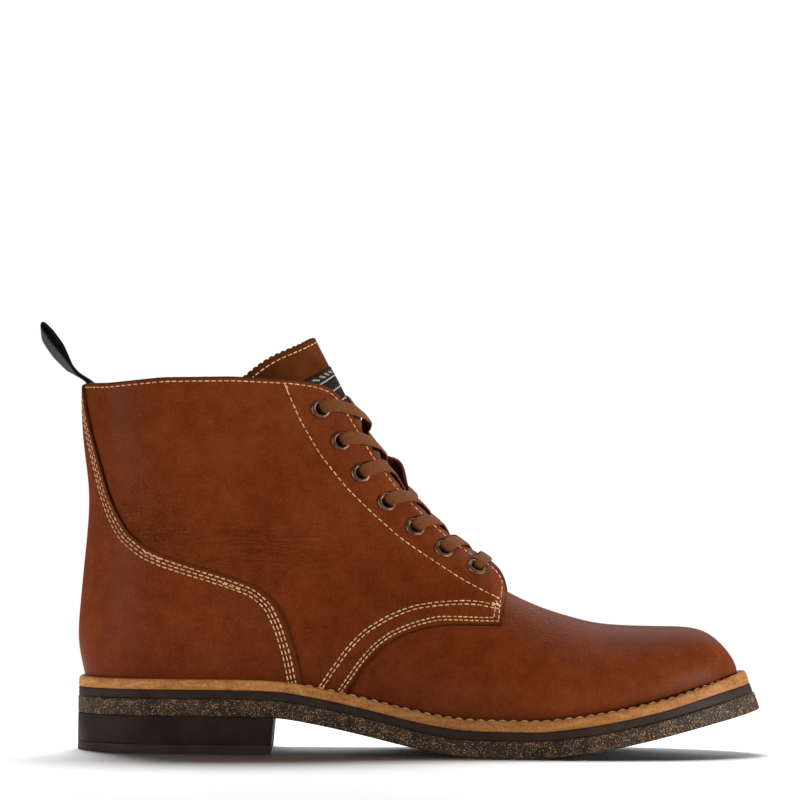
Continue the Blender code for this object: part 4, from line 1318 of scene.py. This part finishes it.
# %% Stitches of the upper
count = 0
for side, word in SIDES:
    rows = [stitch_row(quarter_skin, path, side, creased(path[:, 0], path[:, 1]), pitch, DASH)
            for path, pitch in quarter_rows]
    count += stitches(f"quarter_stitches_{word}", rows, seam_thread, "lace_cord", THREAD, THREAD_DIP)
    rows = [stitch_row(quarter_half, path, side, COUNTER, PITCH, DASH)
            for path in counter_rows + counter_laps]
    count += stitches(f"counter_stitches_{word}", rows, seam_thread, "lace_cord", THREAD, THREAD_DIP)
print("stitches in the upper:", count)

# %% [markdown]
# One more row runs round the top of the tongue, just under the scallops. It is drawn on the tongue's own
# grid, so it bends with the sheet.

# %% Tongue stitches
TONGUE_ROW, TONGUE_ROW_HALF = 0.983, 0.97
across = np.linspace(-TONGUE_ROW_HALF, TONGUE_ROW_HALF, 300)
at, out = on_tongue(np.full(300, TONGUE_ROW), across, 0.0)
ends = ends_of(at, out, PITCH, DASH)
count = stitches("tongue_stitches", [ends], seam_thread, "lace_cord", THREAD, THREAD_DIP)
print("stitches in the tongue:", count)

# %% [markdown]
# ## The sole
# Under the upper lie an insole, a midsole and an outsole. Each layer is an outline in plan, closed round
# heel and toe, and a small profile that rounds its edge. The profile is carried round the outline, moved
# in along the outline's own normal, and lifted by the tread line, so heel rise, arch and toe spring come
# from one curve. A bevelled solid would need a bend for each of them.


# %% Sole layers
def outline(side_in, heel_in, toe_in, count=120):
    """The sole's edge in plan, round the boot: half-width closed at heel and toe, outer side first."""
    x = heel_in + (SOLE_LENGTH - toe_in - heel_in) * spaced(count)
    half = (sole_half(x) - side_in) * closing((x - heel_in) / HEEL_ROUND, HEEL_SQUARENESS)
    half = half * closing((SOLE_LENGTH - toe_in - x) / TOE_ROUND, TOE_SQUARENESS)
    there = np.stack((x, sole_centre(x) - half), 1)
    home = np.stack((x, sole_centre(x) + half), 1)[::-1]
    return np.concatenate((there, home[1:-1]))


def inward(loop):
    """Directions that point into a closed outline, square to it."""
    way = unit(np.roll(loop, -1, 0) - np.roll(loop, 1, 0))
    return np.stack((-way[:, 1], way[:, 0]), 1)


TOE_FLARE, TOE_LEAN, TOE_LEAN_REACH, TOE_HINGE = 0.12, 262.0, 35.0, 3.0


def edged(loop, profile, base):
    """Rings of points: the outline moved in and up by each step of a profile, over the tread and a base
    height. At the toe they also move back by height times slope, so that edges stand square to the sole."""
    inset, rise = np.array(profile, float).T
    flat = loop[None] + inward(loop)[None] * inset[:, None, None]
    x, height = flat[..., 0], base + rise[:, None]
    near = np.minimum(x, SOLE_LENGTH - 1.0)
    slope = (tread(near + 1.0) - tread(near - 1.0)) / 2.0 + TOE_FLARE
    lean = slope * smooth((x - TOE_LEAN) / TOE_LEAN_REACH)
    return np.stack((x - (height - TOE_HINGE) * lean, flat[..., 1], tread(x) + height), -1)


def rounded_edge(height, radius):
    """A profile up the outside of a slab with quarter-round corners."""
    turn = np.linspace(0.0, np.pi / 2, 5)
    low = np.stack((radius - radius * np.sin(turn), radius - radius * np.cos(turn)), 1)
    high = np.stack((radius - radius * np.cos(turn), height - radius + radius * np.sin(turn)), 1)
    return np.concatenate((low, high))


def slab(name, loop, profile, base, finish, slot):
    """One layer of the sole: an outline carried up a profile over a base height, closed by its lids."""
    rings = edged(loop, profile, base)
    return make(name, rings, slab_faces(rings), (finish,), slot, (name,))


HEEL_INSET = 0.6
slab("outsole", outline(0.0, HEEL_INSET, 0.0), rounded_edge(OUTSOLE, 0.9), 0.0, outsole_rubber,
     "outsole_rubber")
slab("midsole", outline(1.4, 0.9, 0.6), rounded_edge(MIDSOLE, 0.5), OUTSOLE, midsole_rubber, "midsole_rubber")
slab("insole", outline(10.6, 10.6, 12.6), rounded_edge(WELT + 1.0, 0.6), OUTSOLE + MIDSOLE, lining_leather,
     "insole_leather")

# %% [markdown]
# ### Welt
# The welt is a strip of undyed leather between upper and sole. Its outer edge is rounded over, and a
# thick waxed thread holds it from the waist forward: the row of small humps along its top. It is made
# like a layer of the sole, but as a ring, so that the upper can stand inside it.

# %% Welt
WELT_PROFILE = (
    (9.0, 0.0), (0.4, 0.0), (0.1, 0.15), (0.0, 0.5), (0.0, 2.8), (0.12, 3.5), (0.45, 4.1), (1.0, 4.5),
    (1.8, 4.65), (4.6, 4.65), (5.4, 4.5), (9.0, 4.4),
)
welt_loop = outline(0.8, 0.9, 0.6)
rings = edged(welt_loop, WELT_PROFILE, OUTSOLE + MIDSOLE)
rim = np.array((0.0, 0.0, 0.0, 0.0, 0.15, 0.5, 0.9, 1.0, 0.7, 0.0, 0.0, 0.0))[:, None]
rings[..., 2] += rim * (0.15 + smooth((rings[..., 0] - 284.0) / 12.0))
rings = np.concatenate((rings, rings[:1]))
# the welt is darker from the waist forward and along its lower corner; its inner top rows, where it meets the
# upper, get painted shade
tone = 0.32 * smooth((rings[..., 0] - 70.0) / 90.0)
tone[-4:-1] = 0.85
tone[1:3] = 0.6
make("welt", rings, wall_faces(*rings.shape[:2]), (welt_leather,), "welt_leather", ("welt",), tone=tone)

# %% [markdown]
# The welt's row is its own outline, moved in by a few millimetres. It starts at the waist on one side, runs
# round the toe and ends at the waist on the other. Its stitches are the same rods, thicker and longer.

# %% Welt stitches
WELT_PITCH, WELT_DASH, WELT_THREAD, WELT_DIP, WELT_ROW, WELT_START = 4.9, 0.857, 0.6, 0.7, 3.0, 100.0
row = edged(welt_loop, ((WELT_ROW, 4.65),), OUTSOLE + MIDSOLE)[0]
start = np.argmax(row[:, 0] > WELT_START)
row = row[start:len(row) - start]
up = np.broadcast_to((0.0, 0.0, 1.0), row.shape)
ends = ends_of(row, up, WELT_PITCH, WELT_DASH)
count = stitches("welt_stitches", [ends], welt_thread, "welt_leather", WELT_THREAD, WELT_DIP)
print("stitches in the welt:", count)

# %% [markdown]
# ### Heel
# The heel is two slabs with the sole's outline, cut off by a slightly slanted breast face: the block,
# and the top lift that stands on the floor. A cut through a whole slab would do, but rings that end in a
# straight line leave the breast's edges rounded like the others.

# %% Heel
HEEL_LIFT, HEEL_BREAST, BREAST_SLANT, HEEL_SEAT = 4.2, 89.2, 1.3, float(tread(30.0))


def heel_slab(name, low, high, finish, radius):
    """The heel's outline ring by ring; its front is a straight line across, moved back towards the floor."""
    inset, rise = rounded_edge(high - low, radius).T[..., None]
    turn = 1 - np.cos(np.linspace(0.0, np.pi / 2, 60))
    z = low + rise
    rear = HEEL_INSET + inset
    front = HEEL_BREAST - BREAST_SLANT * (1.0 - z / HEEL_SEAT) - inset
    x = rear + (front - rear) * turn
    half = (sole_half(x) - inset) * closing((x - rear) / HEEL_ROUND, HEEL_SQUARENESS)
    z = np.minimum(z + 0.0 * x, tread(x) - 0.05)
    there = np.stack((x, sole_centre(x) - half, z), -1)
    home = np.stack((x, sole_centre(x) + half, z), -1)[:, ::-1]
    rings = np.concatenate((there, home[:, :-1]), 1)
    make(name, rings, slab_faces(rings), (finish,), "heel_rubber", (name,))


heel_slab("heel_lift", 0.0, HEEL_LIFT, lift_rubber, 0.35)
heel_slab("heel_block", HEEL_LIFT, HEEL_SEAT, heel_rubber, 0.3)

# %% [markdown]
# ## Eyelets
# A brass eyelet lines each hole. It is turned from one profile, a barrel through the leather and a
# flange that is rolled over outside, and set square to the leather where its hole is. Turned copies of one
# object would do, but here every piece keeps its own points in place, so each is worked out where it sits.

# %% Eyelets
EYELET_SIDES = 28
EYELET_PROFILE = np.array((
    (2.55, -2.5), (2.55, 0.0), (2.62, 0.4), (2.85, 0.7), (3.25, 0.88), (3.75, 0.82),
    (4.2, 0.58), (4.52, 0.2), (4.58, -0.2), (4.4, -0.4), (2.85, -0.4), (2.8, -2.5)))
radius, rise = EYELET_PROFILE.T[..., None, None]
turn = np.linspace(0.0, 2 * np.pi, EYELET_SIDES + 1)[None, :-1, None]
eyelet_faces = wall_faces(len(EYELET_PROFILE) + 1, EYELET_SIDES) % (len(EYELET_PROFILE) * EYELET_SIDES)
for side, word in SIDES:
    for number, (at, out) in enumerate(zip(eyelet_at[side], eyelet_out[side]), 1):
        first = unit(np.cross(out, (0.0, 0.0, 1.0)))
        second = np.cross(out, first)
        ring = at + radius * (first * np.cos(turn) + second * np.sin(turn)) + rise * out
        name = f"eyelet_{word}_{number}"
        make(name, ring, eyelet_faces, (eyelet_brass,), "eyelet_metal", (name,))

# %% [markdown]
# ## Lace
# One flat lace runs through all fourteen holes. Down each side it comes up through an eyelet, crosses
# over the throat and goes under the other facing to the next eyelet below; a straight run at the foot
# joins the two halves. A cloth simulation could pull it tight, but where it sags would be left to
# chance. So the path is a string through places that are worked out from the eyelets and the throat, and
# then softened.

# %% Places of the lace
LACE_WIDTH, LACE_THICKNESS = 6.1, 1.3
row_way = {side: unit(np.gradient(eyelet_at[side], axis=0)) for side in (LATERAL, MEDIAL)}
THROAT = table("number edge sag bow back", (0, 0.54, 1.7, 1.1, 0.0), (1, 0.48, 0.5, 1.3, 0.0),
               (2, 0.45, -1.4, 2.0, 0.45), (3, 0.39, -0.3, 1.5, 0.0), (4, 0.344, -2.0, 1.7, 0.0),
               (5, 0.32, -3.2, 1.9, 0.0), (6, 0.316, -3.2, 1.9, 0.0))
RUN = table(
    "steps near_share near_rise far_share far_rise sagging",
    (1.4, 0.2, 1.5, 0.06, 1.5, 0.0), (1.1, 0.34, 0.95, 0.1, 0.95, 0.0),
    (0.95, 0.4, 0.95, 0.13, 0.95, 0.0), (0.6, 0.55, 0.6, 0.2, 0.1, 0.4),
    (0.0, 0.76, 0.0, 0.38, -1.2, 1.0), (-0.5, 0.87, -0.5, 0.62, -2.0, 0.6),
    (-0.8, 0.92, -1.7, 0.78, -2.7, 0.3), (-1.1, 0.96, -3.25, 0.9, -3.25, 0.0),
    (-1.6, 1.0, -3.4, 1.0, -3.4, 0.0),
)


def over_throat(number, steps, offset):
    """Points over the throat: steps is 0 on the ridge, 1 or -1 at a facing's edge, 2 or -2 at an eyelet."""
    row = {name: np.interp(number, EYELETS["number"], EYELETS[name]) for name in EYELETS}
    edge = np.interp(number, THROAT["number"], THROAT["edge"])
    past = np.maximum(np.abs(steps) - 1.0, 0.0)
    part = (np.minimum(np.abs(steps), 1.0) * edge + past * (1.0 - edge)) ** 2
    ridge_z = quarter_ridge(row["ridge_x"])
    x = row["ridge_x"] + (row["x"] - row["ridge_x"]) * part
    z = ridge_z + (row["z"] - ridge_z) * part
    side = np.where(steps < 0, LATERAL, MEDIAL)
    lift = curl(x, past * 10.0) * smooth((steps - 0.3) / 0.6) * (offset > 0)
    return on_last(quarter_half, x, z, side, offset + lift)


def towards_throat(side, number):
    """Direction along the leather from an eyelet to the throat."""
    near = over_throat(float(number), np.array((1.6 * side,)), np.zeros(1))[0]
    way = near - eyelet_at[side][number]
    out = eyelet_out[side][number]
    return unit(way - (way @ out) * out)


def come_up(side, number):
    """Places through an eyelet from inside to outside, on the throat's side of the hole."""
    at, out, way = eyelet_at[side][number], eyelet_out[side][number], towards_throat(side, number)
    steps = ((-3.6, 2.6), (-3.0, 0.9), (-1.2, 0.6), (0.5, 0.8), (1.6, 1.7), (1.75, 3.4))
    return [at + rise * out + reach * way for rise, reach in steps]


def cross_over(side, number):
    """Places over the throat from an eyelet to under the other facing, one eyelet lower.
    Strands from the outer side sink low over the ridge before they dive; the others dive at the end."""
    word = "near" if side == LATERAL else "far"
    sag, bow = THROAT["sag"][number], THROAT["bow"][number]
    back = THROAT["back"][number] * smooth((RUN["steps"] + 0.5) / 1.4)
    sag, bow, back = (sag, bow, 0.0 * back) if side == LATERAL else (min(sag, 0.0), 1.0, back)
    rise = RUN[word + "_rise"] + sag * RUN["sagging"]
    return list(over_throat(number + RUN[word + "_share"] ** bow - back, side * RUN["steps"], rise))


print("places in a crossing:", len(cross_over(LATERAL, 0)))

# %% [markdown]
# Each half of the lace starts at a top eyelet and changes sides at every crossing. The halves are joined by
# the straight run at the foot, so that the whole is one path with one softening.

# %% Lace path
halves = []
for side in (LATERAL, MEDIAL):
    half_path = []
    for number in range(7):
        half_path += come_up(side, number)
        if number < 6:
            half_path += cross_over(side, number)
            side = -side
    halves.append(half_path)
foot = over_throat(np.full(7, 6.0), np.array((-1.4, -1.0, -0.6, 0.0, 0.6, 1.0, 1.4)),
                   np.array((1.5, 0.95, 0.1, -0.9, 0.1, 0.95, 1.5)))
lace_path = flowing(halves[0] + list(foot) + halves[1][::-1], 1.1)
lace_path = along(lace_path, np.linspace(0.0, 1.0, int(lengths(lace_path)[-1] / 0.9)))
print("lace:", round(lengths(lace_path)[-1]), "mm long")

# %% [markdown]
# A flat, rounded ribbon is carried along the path. A bevelled curve would twist as it likes; here the
# broad side is told to stay in line with the eyelet row, and the ribbon draws together where it passes a
# hole.

# %% Lace ribbon
PINCH, PINCH_REACH, FOOT_PINCH, FOOT_REACH, FATTER, ROW_REACH = 0.14, 2.6, 0.2, 7.0, 0.25, 2.0
LACE_SIDES, FLAT_WIDE, FLAT_HIGH, WEAVE = 16, 0.6, 0.8, 5.0
way = unit(np.gradient(lace_path, axis=0))
holes = np.concatenate([eyelet_at[LATERAL], eyelet_at[MEDIAL]])
rows = np.concatenate([row_way[LATERAL], row_way[MEDIAL]])
far = np.linalg.norm(lace_path[:, None] - holes[None], axis=-1)
weight = 1.0 / (far ** 2 + ROW_REACH ** 2)
broad = unit((weight[..., None] * rows[None]).sum(1))
broad = unit(broad - (broad * way).sum(-1, keepdims=True) * way)
face = np.cross(way, broad)
pinch = np.exp(-(far.min(1) / PINCH_REACH) ** 2)
at_foot = np.exp(-(far[:, [6, 13]].min(1) / FOOT_REACH) ** 2)
width = LACE_WIDTH * (1.0 - PINCH * pinch - FOOT_PINCH * at_foot) / 2
thick = LACE_THICKNESS * (1.0 + FATTER * pinch) / 2
turn = np.linspace(0.0, 2 * np.pi, LACE_SIDES + 1)[:-1]
flat_x = np.sign(np.cos(turn)) * np.abs(np.cos(turn)) ** FLAT_WIDE
flat_y = np.sign(np.sin(turn)) * np.abs(np.sin(turn)) ** FLAT_HIGH
rings = (lace_path[:, None] + broad[:, None] * (width[:, None] * flat_x)[..., None]
         + face[:, None] * (thick[:, None] * flat_y)[..., None])
around = np.stack(np.broadcast_arrays(lengths(lace_path)[:, None] / WEAVE, 0.5 + 0.5 * flat_x[None]), -1)
make("lace", rings, slab_faces(rings), (lace_cotton,), "lace_cord", ("lace",), around=around, sharp=80.0)

# %% [markdown]
# ## Pull loop
# A webbing tape is folded into a loop at the back of the collar, its ends sewn inside. It leans back,
# and its near edge stands a little higher than the far one. It is made like the lace, a flat section
# carried along a path, but its inner face has a near-black copy of the webbing's finish, a painted shade.

# %% Pull loop
LOOP_WIDTH, LOOP_THICKNESS, LOOP_TILT, LOOP_POINTS = 14.0, 1.2, math.radians(-27.0), 15
LOOP_PATH = (
    (5.6, 152.0, 0.0), (5.5, 160.0, 0.0), (4.8, 163.4, 0.0), (2.4, 165.6, 0.0), (-1.5, 168.0, 0.15),
    (-6.3, 172.4, 0.8), (-12.6, 179.2, 1.0), (-16.4, 184.6, 1.0), (-17.6, 187.2, 1.0), (-17.2, 188.4, 1.0),
    (-15.8, 188.0, 1.0), (-12.0, 184.3, 1.0), (-7.6, 178.4, 1.0), (-5.4, 174.4, 0.7), (-3.5, 171.0, 0.35),
    (-0.9, 168.5, 0.15), (2.9, 166.2, 0.0), (6.4, 163.8, 0.0), (7.0, 160.0, 0.0), (7.0, 152.0, 0.0),
)
loop_path = flowing(LOOP_PATH, 0.7)[::3]
way = unit(np.gradient(loop_path[:, :2], axis=0))
reach = np.linspace(-1.0, 1.0, LOOP_POINTS)
aside, through_tape = np.concatenate((reach, reach[::-1])), np.repeat((0.5, -0.5), LOOP_POINTS)
tilt = LOOP_TILT * loop_path[:, 2:]
y = float(sole_centre(0.0)) + aside * LOOP_WIDTH / 2 * np.cos(tilt)
shift = through_tape * LOOP_THICKNESS * (1.0 - 0.5 * np.abs(aside) ** 8)
x = loop_path[:, :1] - way[:, 1:] * shift
z = loop_path[:, 1:2] + way[:, :1] * shift + aside * LOOP_WIDTH / 2 * np.sin(tilt)
rings = np.stack((x, y, z), -1)
run = lengths(loop_path[:, :2])[:, None] / WEAVE
around = np.stack(np.broadcast_arrays(run, aside * LOOP_WIDTH / 2 / WEAVE), -1)
faces = slab_faces(rings)
kind = np.zeros(len(faces))
shaded_inner_face = np.arange(2 * LOOP_POINTS) >= LOOP_POINTS - 1
kind[:shaded_inner_face.size * (len(rings) - 1)] = np.tile(shaded_inner_face, len(rings) - 1)
make("pull_loop", rings, faces, (loop_webbing, loop_inside_shade), "loop_webbing", ("pull_loop",), kind, around,
     80.0)
